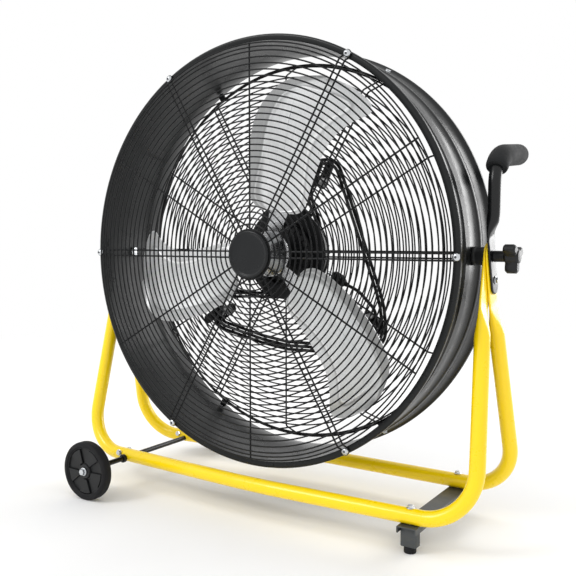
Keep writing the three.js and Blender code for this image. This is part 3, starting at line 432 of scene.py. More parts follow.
def extruded(outline, origin, axis, thick, ease, up=UPWARD):
    """Flat outline of (u, v) points pushed along `axis`, with eased edges; v leans to `up`."""
    place = frame_at(origin, axis, up)
    centre = sum((Vector(p) for p in outline), Vector((0, 0))) / len(outline)
    rings = []
    for height, inset in ((0, ease), (ease, 0), (thick - ease, 0), (thick, ease)):
        ring = []
        for p in outline:
            out = Vector(p) - centre
            q = Vector(p) - out.normalized() * inset
            ring.append(place @ Vector((q.x, q.y, height)))
        rings.append(ring)
    return loft(rings)


def round_rect(width, height, corner, steps=5):
    points = []
    for quarter, (sx, sy) in enumerate([(1, 1), (-1, 1), (-1, -1), (1, -1)]):
        cx, cy = sx * (width / 2 - corner), sy * (height / 2 - corner)
        for k in range(steps + 1):
            turn = math.pi / 2 * (quarter + k / steps)
            dx, dy = on_circle(corner, turn)
            points.append((cx + dx, cy + dy))
    return points


def spline(a, b, c, d, t):
    """Point at share `t` of the way from b to c, on a smooth curve through all four."""
    return 0.5 * ((2 * b) + (c - a) * t + (2 * a - 5 * b + 4 * c - d) * t ** 2
                  + (3 * b - a - 3 * c + d) * t ** 3)


def through(points, steps):
    """Smooth curve through the points."""
    result = []
    for i in range(len(points) - 1):
        a, b = points[max(i - 1, 0)], points[i]
        c, d = points[i + 1], points[min(i + 2, len(points) - 1)]
        result += [spline(a, b, c, d, k / steps) for k in range(steps)]
    result.append(points[-1].copy())
    return result


def smooth_loop(points, steps):
    """Closed curve through a few 2-D points."""
    count = len(points)
    result = []
    for i in range(count):
        a, b, c, d = (Vector(points[(i + k) % count]) for k in (-1, 0, 1, 2))
        result += [tuple(spline(a, b, c, d, k / steps)) for k in range(steps)]
    return result


def frame_at(origin, axis, up):
    """Matrix whose third axis is `axis` and whose second leans to `up`."""
    z = Vector(axis).normalized()
    x = Vector(up).cross(z)
    if x.length < 1e-3:
        x = ALONG_X.cross(z)
    x.normalize()
    y = z.cross(x)
    return Matrix.Translation(Vector(origin)) @ Matrix((x, y, z)).transposed().to_4x4()


def hexagon(across_flats):
    return [on_circle(across_flats / math.sqrt(3), math.pi * i / 3) for i in range(6)]


def hex_head(origin, axis, across_flats, height, flange=True):
    """Hexagon head that stands along `axis` on its washer face, with a domed top."""
    shapes = [extruded(hexagon(across_flats), origin, axis, height, 0.5)]
    if flange:
        f = across_flats * 0.72
        shapes.append(turned(soften([(0, 0), (f, 0), (f, 1.0), (f * 0.8, 1.7), (0, 1.7)], 0.4),
                             origin, axis, 32))
    dome = across_flats * 0.42
    shapes.append(turned([(0, height - 0.5), (dome, height - 0.5), (dome * 0.85, height + 0.3),
                          (0, height + 0.5)], origin, axis, 24))
    return shapes


def rod(origin, axis, radius, length, segments=24):
    return turned(soften([(0, 0), (radius, 0), (radius, length), (0, length)], 0.4), origin, axis, segments)


# --- pieces ---
def piece(name, shapes, body, material, nodes=(), crease=38.0):
    """One mesh object from shapes, riding on a CAD body and standing for CAD nodes."""
    points, faces = [], []
    for shape_points, shape_faces in shapes:
        offset = len(points)
        points.extend(shape_points)
        faces.extend(tuple(i + offset for i in face) for face in shape_faces)
    mesh = bpy.data.meshes.new(name)
    mesh.from_pydata([tuple(Vector(p) * MM) for p in points], [], faces)
    work = bmesh.new()
    work.from_mesh(mesh)
    bmesh.ops.recalc_face_normals(work, faces=work.faces)
    work.to_mesh(mesh)
    work.free()
    mesh.shade_smooth()
    mesh.set_sharp_from_angle(angle=math.radians(crease))
    mesh.materials.append(material)
    obj = add_object(name, mesh)
    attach(obj, body)
    if nodes:
        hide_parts(*nodes)
    return obj


def polar(radius, degrees, y, offset=0.0):
    """Point in the drum's frame, `offset` to the side of the radial line."""
    turn = math.radians(degrees)
    return Vector((radius * math.cos(turn) - offset * math.sin(turn), y,
                   PIVOT_Z + radius * math.sin(turn) + offset * math.cos(turn)))


def outward(degrees):
    """Direction away from the drum's axis."""
    return polar(1, degrees, 0) - DRUM_CENTRE


# --- power cord, first, with the points that its CAD solid follows ---
CORD_Y = 62.0  # of the turns, behind the rear guard
BEHIND_MOTOR_Y = 85.0
CORD_PITCH = 8.0  # between neighbouring turns
CORD_TURNS = 2
# One turn: x and z from the drum's centre, y, and the bend's radius.
TURN_CORNERS = [
    (-120, -89, 68, 0), (-213, -94, CORD_Y, 34), (-211, -162, CORD_Y, 34), (-20, -206, CORD_Y, 420),
    (208, -186, CORD_Y, 36), (205, -105, CORD_Y, 200), (98, 190, CORD_Y, 35), (31, 190, CORD_Y, 35),
    (31, 112, CORD_Y + 4, 60), (42, 60, BEHIND_MOTOR_Y, 60), (30, -86, BEHIND_MOTOR_Y, 34),
    (-60, -89, BEHIND_MOTOR_Y - 2, 80), (-120, -89, 68, 0),
]
GLAND_END = Vector((-12, 46, -91))
BEND_STEPS = 8  # points in each quarter of a bend


def cord_route():
    """Points of the cord relative to the drum's centre, from the strain relief to the plug."""
    turn = fillet([Vector((x, y, z)) for x, z, y, _ in TURN_CORNERS],
                  [corner[3] for corner in TURN_CORNERS[1:-1]], BEND_STEPS)[:-1]
    turn = densify(closed(turn), 9.0)[:-1]
    count = len(turn)

    def winding(step):
        along = turn[(step + 1) % count] - turn[(step - 1) % count]
        along.y = 0
        along.normalize()
        out = CORD_PITCH * (1 - step / count)
        return turn[step % count] + Vector((along.z * out, 0, -along.x * out))

    first = next(i for i, p in enumerate(turn) if p.x < -176)
    last = next(i for i, p in enumerate(turn) if p.x > 200 and p.z > -152)
    exit_point = GLAND_END + Vector((-0.3, 0, 0))
    way_in = [exit_point, Vector((-60, GLAND_END.y + 2, -97)), Vector((-100, GLAND_END.y + 6, -94)),
              Vector((-140, 58, -84)), winding(first)]
    path = fillet(way_in, [200, 150, 120], BEND_STEPS)
    path += [winding(step) for step in range(first + 1, CORD_TURNS * count + last)]
    tail = [path.pop(), Vector((187, CORD_Y + 2, -112)), Vector((138, 88, -78)), Vector((112, 91, -67))]
    path += fillet(tail, [30, 60], BEND_STEPS)
    return path


def make_cord():
    route = [point + DRUM_CENTRE for point in cord_route()]
    fine = densify(route, 5.0)
    cord = piece("cord", [tube(fine, CORD_R, 12)], "drum", CORD, ["power_cord"])
    end, heading = route[-1], direction(route, len(route) - 1)
    start = end + heading * 0.3
    body = [(3.6, 4.2, 0), (4.4, 5.0, 4), (5, 5.5, 8), (9, 8, 13), (12, 10, 18), (14, 11, 24),
            (14.5, 11.5, 32), (14.5, 11.5, 39), (13.6, 10.8, 41.4), (12.6, 10.0, 42)]
    rings = [section(start + heading * along, heading, ALONG_Y, wide, thick, 24, 0.3)
             for wide, thick, along in body]
    ribs = [loft([section(start + heading * (2 + 3.4 * k + d), heading, ALONG_Y,
                          4.4 + k * 0.7, 5.0 + k * 0.5, 20) for d in (0, 1.2)]) for k in range(3)]
    plug = piece("plug_body", [loft(rings), *ribs], "drum", RUBBER, ["power_plug"])
    side = heading.cross(ALONG_Y).normalized()
    pins = []
    for hand in (-1, 1):
        root = start + heading * 41 + side * (hand * 6.4)
        pins.append(loft([section(root + heading * d, heading, side, 3.2, 0.8, 12, 0.8)
                          for d in (0, 17, 18)]))
    pins.append(rod(start + heading * 41 + ALONG_Y * 5, heading, 2.3, 20.5, 20))
    pin_piece = piece("plug_pins", pins, "drum", ZINC)


def make_gland():
    """Ribbed strain relief where the cord leaves the motor, on its block."""
    origin = DRUM_CENTRE + Vector((0, 46, -91))
    ridges = []
    for k in range(3):
        near, far = 2.0 + 4.0 * k, 4.4 + 4.0 * k
        r = 6.9 - 0.4 * k
        ridges += [(r, near), (r, far), (r - 1.2, far - 0.3), (r - 1.2, far - 1.5)]
    profile = [(0, -18), (6.8, -18), *ridges, (4.6, 12), (0, 12)]
    sleeve = turned(profile, origin, (-1, 0, 0), 32)
    block = extruded(round_rect(24, 16, 3), origin + Vector((18, 0, -6)), UPWARD, 17, 1, ALONG_Y)
    piece("strain_relief", [sleeve, block], "drum", RUBBER, ["cord_gland"])


# Clips that hold the turns: x and z from the drum's centre, direction of the bar, post radius.
HOOKS = [(62, 149, 66, 14), (171, -130, -32, 11), (-180, -130, 213, 13)]


def make_hooks():
    base = GUARD_Y + 1.8
    for i, (x, z, heading, post) in enumerate(HOOKS):
        turn = math.radians(heading)
        along = Vector((math.cos(turn), 0, math.sin(turn)))
        origin = Vector((x, 0, z + PIVOT_Z))
        middle = origin + along * 14
        clip = extruded(round_rect(20, 60, 8), middle + ALONG_Y * base, ALONG_Y, 4, 0.8, along)
        bar = extruded(round_rect(20, 60, 9), middle + ALONG_Y * (CORD_Y + 8), ALONG_Y, 5, 1.2, along)
        waist = post * 0.86
        profile = [(0, base + 2), (post, base + 2), (waist, base + 8), (waist, CORD_Y + 4),
                   (post, CORD_Y + 9), (0, CORD_Y + 9)]
        stem = turned(soften(profile, 2), origin, ALONG_Y, 32)
        piece(f"hook_{i + 1}", [clip, bar, stem], "drum", PLASTIC, [f"cord_hook_{i + 1}"])


make_cord()
make_gland()
make_hooks()


# --- drum, grille, badge, guard ---
def lip(radius, y, wire, start, end, steps=8):
    """Arc of rolled edge in the (radius, y) plane, from `start` to `end` degrees."""
    arc = [on_circle(wire, math.radians(start + (end - start) * i / steps)) for i in range(steps + 1)]
    return [(radius + out, y + back) for out, back in arc]


def make_drum():
    """Closed profile round the wall: front lip, a bead, the step, rear lip, then back along the inside."""
    wall = 2.6
    front = -HALF_DEPTH
    outside = [
        (BODY_R - wall, front + 0.6), (BODY_R - wall + 0.8, front), (RIM_R - 4, front),
        *lip(RIM_R - 4, front + 4, 4, -90, 0), *lip(RIM_R - 3, front + 9, 3, 0, 75, 5),
        (BODY_R + 1.5, front + 13), (BODY_R, front + 15),
        (BODY_R, -47), (BODY_R + 1.2, -45.5), (BODY_R + 1.9, -43.5), (BODY_R + 1.2, -41.5), (BODY_R, -40),
        (BODY_R, 27.5), (BODY_R + 1.4, 29), (BODY_R + 2.6, 32), (BODY_R + 2.8, 36.5), (BODY_R + 2.6, 41),
        (BODY_R + 1.4, 43.5), (BODY_R + 0.2, 46), (BODY_R + 0.2, 56), (BODY_R + 1.1, 66),
        (BODY_R + 2.6, 74), (BODY_R + 4.6, 79.5), (BODY_R + 7.4, 83),
        *lip(RIM_R - 4, 87.5, 4, -40, 0, 4), *lip(RIM_R - 4, HALF_DEPTH - 4, 4, 0, 90),
        (RIM_R - 6, HALF_DEPTH - 0.6), (BODY_R + 2.2, 86), (BODY_R + 0.2, 78), (BODY_R - 1.4, 66),
        (BODY_R - wall, 50), (BODY_R - wall, 0), (BODY_R - wall, -60),
    ]
    piece("drum_body", [on_axis(closed(outside), 200)], "drum", DRUM_BLACK, ["drum_shell"], 50.0)


def spoke_points(degrees, offset, levels):
    """Path of one spoke through (radius, y) points."""
    return [polar(along, degrees, y, offset) for along, y in levels]


def make_front_grille():
    shapes = [wire_ring(FIRST_RING + RING_STEP * k, GRILLE_Y, RING_WIRE) for k in range(GRILLE_RINGS)]
    shapes += [wire_ring(radius, GRILLE_Y, RING_WIRE) for radius in EDGE_RINGS]
    spoke_y = GRILLE_Y + 1.4
    seat = -HALF_DEPTH - 2.1
    for i in range(6):
        degrees = 60 * i
        reach = [(44, spoke_y), (250, spoke_y), (398, spoke_y), (403, spoke_y + 0.8), (406.4, seat - 2.2),
                 (409.5, seat)]
        eye = []
        for bend in (70, 45, 20, 0, -20, -45, -70):
            out, aside = on_circle(6.6, math.radians(bend))
            eye.append(polar(SCREW_CIRCLE + out, degrees, seat, aside))
        hairpin = [*spoke_points(degrees, PAIR_OFFSET, reach), *eye,
                   *reversed(spoke_points(degrees, -PAIR_OFFSET, reach))]
        shapes.append(tube(hairpin, SPOKE_WIRE, 10))
        single = [(44, spoke_y), (EDGE_RINGS[1], spoke_y)]
        shapes.append(tube(spoke_points(degrees + 30, 0, single), SPOKE_WIRE, 10))
    shapes.append(on_axis(soften([(0, -107.9), (50, -107.9), (50, -105.6), (0, -105.6)], 0.6), 72))
    piece("grille_wires", shapes, "drum", WIRE_BLACK, ["front_grille"])


def make_badge():
    """Plain disc with a raised rim, from radii and heights over its back."""
    profile = [(0, 0), (46.6, 0), (47, 1.2), (46.2, 3.4), (44.6, 4.7), (42.6, 5), (40.9, 4.4), (39.6, 3.0),
               (38.2, 2.6), (20, 2.9), (0, 3.1)]
    disc = on_axis([(radius, BADGE_BACK - height) for radius, height in profile], 96)
    piece("badge", [disc], "drum", BADGE, ["hub_badge"])


def make_rear_guard():
    flat_y = GUARD_Y
    shapes = [wire_ring(FIRST_GUARD_RING + RING_STEP * k, flat_y, RING_WIRE) for k in range(GUARD_RINGS)]
    shapes.append(wire_ring(GUARD_RIM_R, GUARD_RIM_Y, 2.6))
    shapes.append(wire_ring(GUARD_RIM_R - 4.4, GUARD_RIM_Y - 4, 1.7))
    spoke_y = flat_y + 1.2
    levels = [(84, spoke_y), (250, spoke_y), (358, spoke_y), (364, flat_y + 3), (367.5, flat_y + 8),
              (388, GUARD_RIM_Y - 5), (391, GUARD_RIM_Y)]
    for i in range(6):
        for degrees, offset in ((60 * i, -PAIR_OFFSET), (60 * i, PAIR_OFFSET), (60 * i + 30, 0)):
            shapes.append(tube(spoke_points(degrees, offset, levels), SPOKE_WIRE, 8))
        seat = polar(393, 60 * i, GUARD_RIM_Y)
        shapes.append(extruded(round_rect(13, 9, 2, 3), seat, outward(60 * i), 13.6, 0.8, ALONG_Y))
    hub = [(68, 22.2), (96, 22.2), (96, 25.3), (68, 25.3)]
    shapes.append(on_axis(closed_soften(hub, 0.8), 72))
    piece("guard_wires", shapes, "drum", WIRE_BLACK, ["rear_guard"])


def make_drum_screws():
    seat = -HALF_DEPTH - 3.7
    head = [(0, -0.4), (6.9, -0.4), (7.1, 0.4), (6.5, 1.9), (5.2, 3.2), (3.0, 4.1), (2.4, 4.2), (2.2, 3.2),
            (0, 3.0)]
    for i in range(6):
        origin = polar(SCREW_CIRCLE, 60 * i, seat)
        # Black crosses that fill the heads' cross recesses: painted shade where the recesses are.
        cross = [extruded(round_rect(across, high, 0.5, 2), origin, (0, -1, 0), 4.15, 0.1)
                 for across, high in ((5.6, 1.1), (1.1, 5.6))]
        piece(f"lip_screw_{i + 1}", [turned(head, origin, (0, -1, 0), 36), rod(origin, ALONG_Y, 2.5, 8)],
              "drum", ZINC, [f"front_screw_{i + 1}"])
        piece(f"lip_screw_recess_shade_{i + 1}", cross, "drum", MOTOR_BLACK)
        out = outward(60 * i)
        wall = polar(BODY_R + 2.6, 60 * i, GUARD_RIM_Y)
        piece(f"guard_screw_{i + 1}", [*hex_head(wall, out, 8, 4.2), rod(wall, -out, 2.5, 5)], "drum", ZINC,
              [f"rear_screw_{i + 1}"])


make_drum()
make_front_grille()
make_badge()
make_rear_guard()
make_drum_screws()


# --- rotor ---
BLADE_THICK = 2.4
# Radius, degrees of the trailing and the leading edge, depths of both.
BLADE_OUTLINE = [
    (88, 20, -10, -48.5, -38), (96, 27, -20, -51, -34.5), (106, 30.5, -25, -52, -32.5),
    (118, 32, -25.3, -53, -32), (135, 31, -23.3, -53, -31), (155, 29, -20.4, -53.5, -29.5),
    (180, 26.4, -18.4, -57, -29), (210, 23.7, -16.9, -61, -30), (240, 20.8, -16.3, -65, -28.5),
    (270, 17.9, -17.1, -66.5, -24), (300, 14.4, -19.4, -62.5, -19.5), (320, 11.6, -21.6, -56, -14.5),
    (336, 8.6, -23.1, -49, -9), (347, 5, -22.5, -43, -8), (355, 0.5, -20, -36, -9), (362, -4, -13, -28, -14),
]
ARM_OUTLINE = [(38, 14, -12), (60, 15, -13), (90, 12, -12), (104, 9, -9), (110, 4, -4)]
FOLD_SHARE = 0.8  # across the blade, where its trailing strip folds forward
BLADE_BOW = 7.0  # how far that fold lies behind the chord
BLADE_STATIONS = 80  # across each blade
FIELD_SIDE_INSET = 8  # of the pressed field at the root, then with FIELD_TAPER more at the tip
FIELD_TAPER = 20
FIELD_TIP_INSET = 28
FIELD_CORNER = 22.0
SHAFT_R = 7.0


def blade_row(radius):
    """Row of the blade's outline at any radius, between two of its rows."""
    rows = BLADE_OUTLINE
    after = next((i for i, row in enumerate(rows) if row[0] >= radius), len(rows))
    if after in (0, len(rows)):
        return rows[min(after, len(rows) - 1)]
    low, high = rows[after - 1], rows[after]
    t = (radius - low[0]) / (high[0] - low[0])
    return [a + (b - a) * t for a, b in zip(low, high)]


def blade_depth(radius, degrees, row=None):
    """y of the sheet's front face, which folds at FOLD_SHARE of the way across."""
    _, trailing, leading, trailing_y, leading_y = row or blade_row(radius)
    share = (degrees - leading) / (trailing - leading)
    rise, fall = share / FOLD_SHARE, (1 - share) / (1 - FOLD_SHARE)
    fold = max(0.0, (rise + fall - math.sqrt((rise - fall) ** 2 + 0.04)) / 2)
    growth = min(1.0, max(0.0, (radius - 60) / 120))
    return leading_y + (trailing_y - leading_y) * share + BLADE_BOW * growth * fold


def fine_outline(outline, steps):
    return [tuple(p) for p in through([Vector(row) for row in outline], steps)]


def sheet_rings(outline, heading, shift, thick, across, relief=None):
    """Closed ring round the sheet at each station from root to tip."""
    tip, root = outline[-1][0], outline[0][0]
    rings = []
    for row in outline:
        radius, ahead, behind = row[:3]
        front, back = [], []
        for i in range(across + 1):
            share = i / across
            degrees = behind + (ahead - behind) * share
            y = blade_depth(radius, degrees, row if len(row) == 5 else None) + shift
            if relief:
                edge = min(share, 1 - share) * math.radians(ahead - behind) * radius
                y -= relief(edge, tip - radius, radius - root)
            front.append(polar(radius, heading + degrees, y))
            back.append(polar(radius, heading + degrees, y + thick))
        rings.append([*front, *reversed(back)])
    return rings


def inside_field(edge, from_tip, from_root):
    """Distance inside the pressed field, which narrows from the root to the tip and has round corners."""
    side = edge - (FIELD_SIDE_INSET + FIELD_TAPER * smoothstep(from_root, 10, 140))
    end = from_tip - FIELD_TIP_INSET
    if side < FIELD_CORNER and end < FIELD_CORNER:
        side = FIELD_CORNER - math.hypot(FIELD_CORNER - side, FIELD_CORNER - end)
    return min(side, end)


def blade_relief(edge, from_tip, from_root):
    """Height of the pressed relief: a ridge round the field, and the raised field itself."""
    inside = inside_field(edge, from_tip, from_root)
    ridge = 1.2 * math.exp(-(inside / 2.4) ** 2)
    return ridge + 0.9 / (1 + math.exp(-max(-60.0, min(60.0, inside / 1.2))))


def add_blade_map(obj, heading):
    """UV map in metres along and across the blade for the brushing, and a colour of painted light and shade
    that follows its pressed shape.
    """
    obj.data.uv_layers.new(name="brushing")
    obj.data.color_attributes.new("pressing_light_and_shade", "FLOAT_COLOR", "CORNER")
    layer, painted_light = obj.data.uv_layers["brushing"], obj.data.color_attributes["pressing_light_and_shade"]
    root, tip = BLADE_OUTLINE[0][0], BLADE_OUTLINE[-1][0]
    for loop in obj.data.loops:
        point = obj.data.vertices[loop.vertex_index].co / MM - DRUM_CENTRE
        radius = math.hypot(point.x, point.z)
        turn = math.atan2(point.z, point.x) - math.radians(heading)
        turn = (turn + math.pi) % (2 * math.pi) - math.pi
        layer.data[loop.index].uv = (radius * MM, radius * turn * MM)
        _, ahead, behind, _, _ = blade_row(radius)
        share = (math.degrees(turn) - behind) / (ahead - behind)
        edge = min(share, 1 - share) * math.radians(ahead - behind) * radius
        inside = inside_field(edge, tip - radius, radius - root)
        # Painted highlight on the ridge round the pressed field, and painted shade at its foot.
        lit_ridge, shaded_foot = math.exp(-(inside / 1.8) ** 2), math.exp(-((inside + 4) / 2.5) ** 2)
        bright = 1.0 + 0.4 * lit_ridge - 0.2 * shaded_foot
        # Painted shade on the folded trailing strip.
        bright *= 1 - 0.42 * smoothstep(share, FOLD_SHARE - 0.02, FOLD_SHARE + 0.06)
        painted_light.data[loop.index].color = (bright, bright, bright * 1.01, 1.0)


def make_rotor():
    outline = fine_outline(BLADE_OUTLINE, 6)
    for i in range(3):
        heading = FIRST_BLADE + 120 * i
        rings = sheet_rings(outline, heading, 0, BLADE_THICK, BLADE_STATIONS, blade_relief)
        blade = piece(f"blade_{i + 1}", [loft(rings)], "fan", ALUMINIUM, [f"fan_blade_{i + 1}"], 60.0)
        add_blade_map(blade, heading)
        rivets = []
        for radius, degrees in ((97, 9), (97, -6), (104, 1.5)):
            y = blade_depth(radius, degrees)
            rivets.append(turned([(0, 0.6), (3.6, 0.6), (3.2, -0.8), (1.8, -1.7), (0, -2)],
                                 polar(radius, heading + degrees, y + 1.4), ALONG_Y, 20))
        piece(f"blade_rivets_{i + 1}", rivets, "fan", ZINC)
    cone = [(0, -88), (22, -88), (28.5, -84), (31, -76), (35, -64), (40, -53), (45, -44), (46.5, -38),
            (46, -33), (18, -33), (18, -8), (0, -8)]
    arms = [loft(sheet_rings(fine_outline(ARM_OUTLINE, 4), FIRST_BLADE + 120 * i, BLADE_THICK + 1.2, 3, 12))
            for i in range(3)]
    piece("hub_cone", [on_axis(soften(cone, 2.0), 96), *arms], "fan", SPUN, ["fan_hub"], 50.0)
    shaft = on_axis([(0, -9), (SHAFT_R, -9), (SHAFT_R, 26), (0, 26)], 40)
    piece("shaft", [shaft], "fan", ZINC, ["motor_shaft"])


make_rotor()

# --- motor ---
BRACKET_FRONT = 25.8
BRACKET_THICK = 3
MOTOR_SPLIT = 29.1  # between the front cover and the body


def radial_box(radius, degrees, y, size_out, size_y, size_side, ease=0.6):
    """Bar that points away from the drum's axis, with its middle at `radius`."""
    outline = round_rect(size_side, size_y, min(size_side, size_y) * 0.3, 2)
    start = polar(radius - size_out / 2, degrees, y)
    return extruded(outline, start, outward(degrees), size_out, ease, ALONG_Y)


def make_motor():
    behind = BRACKET_FRONT + BRACKET_THICK
    ring = [(64, BRACKET_FRONT), (88, BRACKET_FRONT), (88, behind), (64, behind)]
    bracket = [on_axis(closed_soften(ring, 0.5), 72)]
    for degrees in (60, 120, 240, 300):
        bracket.append(radial_box(82, degrees, BRACKET_FRONT + 1.5, 36, BRACKET_THICK, 30, 0.3))
        bracket += hex_head(polar(92, degrees, behind), ALONG_Y, 11, 4.6)
    piece("bracket", bracket, "drum", MOTOR_BLACK, ["motor_bracket"])

    bell = [(8, 12), (18, 12), (22, 15), (40, 16.2), (50, 17.4), (57, 20), (61.6, 24), (62, 28.8), (8, 28.8),
            (8, 12)]
    front = [on_axis(soften(bell, 1.0), 72)]
    front += [radial_box(46, 15 * k, 18.6, 24, 6, 2.6) for k in range(24)]
    piece("motor_bell", front, "drum", MOTOR_BLACK, ["motor_front_cover"])

    can = [(0, MOTOR_SPLIT), (72, MOTOR_SPLIT), (79, MOTOR_SPLIT + 0.6), (80.6, MOTOR_SPLIT + 3),
           (80.6, 57.6), (0, 57.6)]
    body = [on_axis(soften(can, 1.2), 96)]
    body += [radial_box(79.6, 360 / 48 * k, 44, 4.6, 24, 2.4, 0.5) for k in range(48)]
    piece("motor_can", body, "drum", MOTOR_BLACK, ["motor_body"])

    r = MOTOR_R
    cap = [(0, 58.2), (r - 0.6, 58.2), (r - 1, 63), (r - 4, 69), (r - 11, 73.4), (r - 24, 75.6),
           (r - 32, 76.8), (20, 76.8), (18, 75.6), (0, 75.6)]
    back = [on_axis(soften(cap, 1.6), 96)]
    back += [radial_box(66, 12 * k, 73.2, 22, 6, 2.6, 0.4) for k in range(30)]
    piece("motor_cap", back, "drum", PLASTIC, ["motor_rear_cover"])


SWITCH_X, SWITCH_Z, SWITCH_FACE = -26.0, 22.0, 99.3


def make_switch():
    centre = Vector((SWITCH_X, 0, SWITCH_Z + PIVOT_Z))
    box = extruded(round_rect(44, 56, 6), centre + ALONG_Y * 77.3, ALONG_Y, 22, 2)
    plate = extruded(round_rect(38, 50, 5), centre + ALONG_Y * 99.0, ALONG_Y, 0.4, 0.1)
    piece("switch_housing", [box, plate], "drum", PLASTIC, ["switch_box"])
    origin = centre + ALONG_Y * SWITCH_FACE
    skirt = [(0, 0.8), (14.2, 0.8), (15, 1.4), (14.8, 2.8), (13.6, 4.4), (11.5, 5), (0, 5)]
    bar = extruded(round_rect(6.4, 25, 3), origin + ALONG_Y * 4.5, ALONG_Y, 9, 0.9)
    knurl = []
    for k in range(24):
        turn = math.radians(15 * k)
        at = origin + Vector((math.cos(turn) * 14.3, 0.9, math.sin(turn) * 14.3))
        knurl.append(rod(at, ALONG_Y, 0.6, 2.4, 8))
    piece("dial", [turned(skirt, origin, ALONG_Y, 48), bar, *knurl], "speed_knob", PLASTIC, ["speed_knob"])


make_motor()
make_switch()

# --- pivots and knobs ---
KNOB_END = 492.0
# One of a knob's three arms: degrees from its middle, and radius.
KNOB_ARM = [(-60, 11.5), (-30, 15), (-17, 25), (-8, 29.2), (8, 29.2), (17, 25), (30, 15)]


def star_outline():
    points = []
    for i in range(3):
        for degrees, radius in KNOB_ARM:
            points.append(on_circle(radius, math.radians(120 * i + degrees)))
    return smooth_loop(points, 5)


def make_pivots():
    """Profiles give the radius and the distance from the drum's centre."""
    for name, hand, seat in (("right", 1, 446.4), ("left", -1, 441.8)):
        axis = (hand, 0, 0)
        spacer = [(5.3, 410.9), (17, 410.9), (16.8, 414), (16, 417), (16, 427), (16.4, 432.9), (5.3, 432.9),
                  (5.3, 410.9)]
        piece(f"spacer_{name}", [turned(soften(spacer, 0.8), DRUM_CENTRE, axis, 56)], "drum", PLASTIC,
              [f"pivot_spacer_{name}"])
        stud = [(0, 400.5), (9.4, 400.5), (10.6, 402), (11, 406), (5, 406), (5, 474), (0, 474)]
        piece(f"stud_{name}", [turned(soften(stud, 0.5), DRUM_CENTRE, axis, 40)], "drum", ZINC,
              [f"pivot_stud_{name}"])
        sleeve = [(5.3, seat), (9.4, seat), (9.8, seat + 1), (9.8, 466), (14, 469), (14.4, 471), (13.2, 473),
                  (5.3, 474)]
        boss = [(0, 470), (13.6, 470), (13.2, 486), (12.4, 489.5), (10.4, 491.6), (8, KNOB_END),
                (0, KNOB_END)]
        up = Vector((0, math.sin(math.radians(7)), math.cos(math.radians(7))))
        start = DRUM_CENTRE + Vector((hand * 468.2, 0, 0))
        arms = extruded(star_outline(), start, axis, 21.6, 3.4, up.cross(Vector(axis)))
        piece(f"knob_{name}", [turned([*soften(sleeve, 0.6), (5.3, seat)], DRUM_CENTRE, axis, 40),
                               turned(boss, DRUM_CENTRE, axis, 48), arms], f"{name}_tilt_knob", PLASTIC,
              [f"tilt_knob_{name}"], 32.0)


make_pivots()

# --- stand ---
FRAME_HALF_WIDTH = 459.0
# The bottom runs stand this far from the middle plane at the right, at BEND_X and at the left.
SPREAD_RIGHT, SPREAD_MIDDLE, SPREAD_LEFT = 114.0, 124.0, 92.0
BEND_X = 20
BASE_Z = 64.0  # middle of the bottom runs
SIDES = (("front", -1), ("rear", 1))


def run_y(x):
    """Distance of a bottom run from the middle plane."""
    if x < BEND_X:
        end, share = SPREAD_LEFT, (BEND_X - x) / (BEND_X + FRAME_HALF_WIDTH)
    else:
        end, share = SPREAD_RIGHT, (x - BEND_X) / (FRAME_HALF_WIDTH - BEND_X)
    return SPREAD_MIDDLE + (end - SPREAD_MIDDLE) * share


def flattened_tube(path, normal, sizes_of):
    """Tube whose half sizes and squareness change along the path."""
    rings = []
    for i, point in enumerate(path):
        half_side, half_up, square = sizes_of(point)
        rings.append(section(point, direction(path, i), normal, half_side, half_up, 36, square))
    return loft(rings)


def rounded_end(distance, length, least):
    """Share of the full size this far from a round end."""
    if distance >= length:
        return 1.0
    return math.sqrt(max(least, 1 - (1 - distance / length) ** 2))


def make_frame_tube(name, side, plate_x, node):
    """One bent tube, pressed flat at both ends where the tilt axis goes through."""
    top_z = PIVOT_Z + 23
    corners = [Vector(p) for p in (
        (-plate_x, side * -6, top_z), (-plate_x - 0.5, side * 20, PIVOT_Z - 84),
        (-FRAME_HALF_WIDTH, side * SPREAD_LEFT, BASE_Z), (BEND_X, side * SPREAD_MIDDLE, BASE_Z),
        (FRAME_HALF_WIDTH, side * SPREAD_RIGHT, BASE_Z), (plate_x + 0.5, side * 20, PIVOT_Z - 84),
        (plate_x, side * -6, top_z))]
    path = densify(fillet(corners, [200, 89, 900, 89, 200], 16), 6.0)
    plate_half = 20.5

    def sizes(point):
        flat = smoothstep(point.z, PIVOT_Z - 142, PIVOT_Z - 84)
        tip = rounded_end(top_z - point.z, plate_half, 0.04)
        return TUBE_R + (2 - TUBE_R) * flat, (TUBE_R + (plate_half - TUBE_R) * flat) * tip, flat

    normal = Vector((0, side * 0.97, 0.24))
    piece(name, [flattened_tube(path, normal, sizes)], "stand", YELLOW, [node], 50.0)


HANDLE_X = 444.0


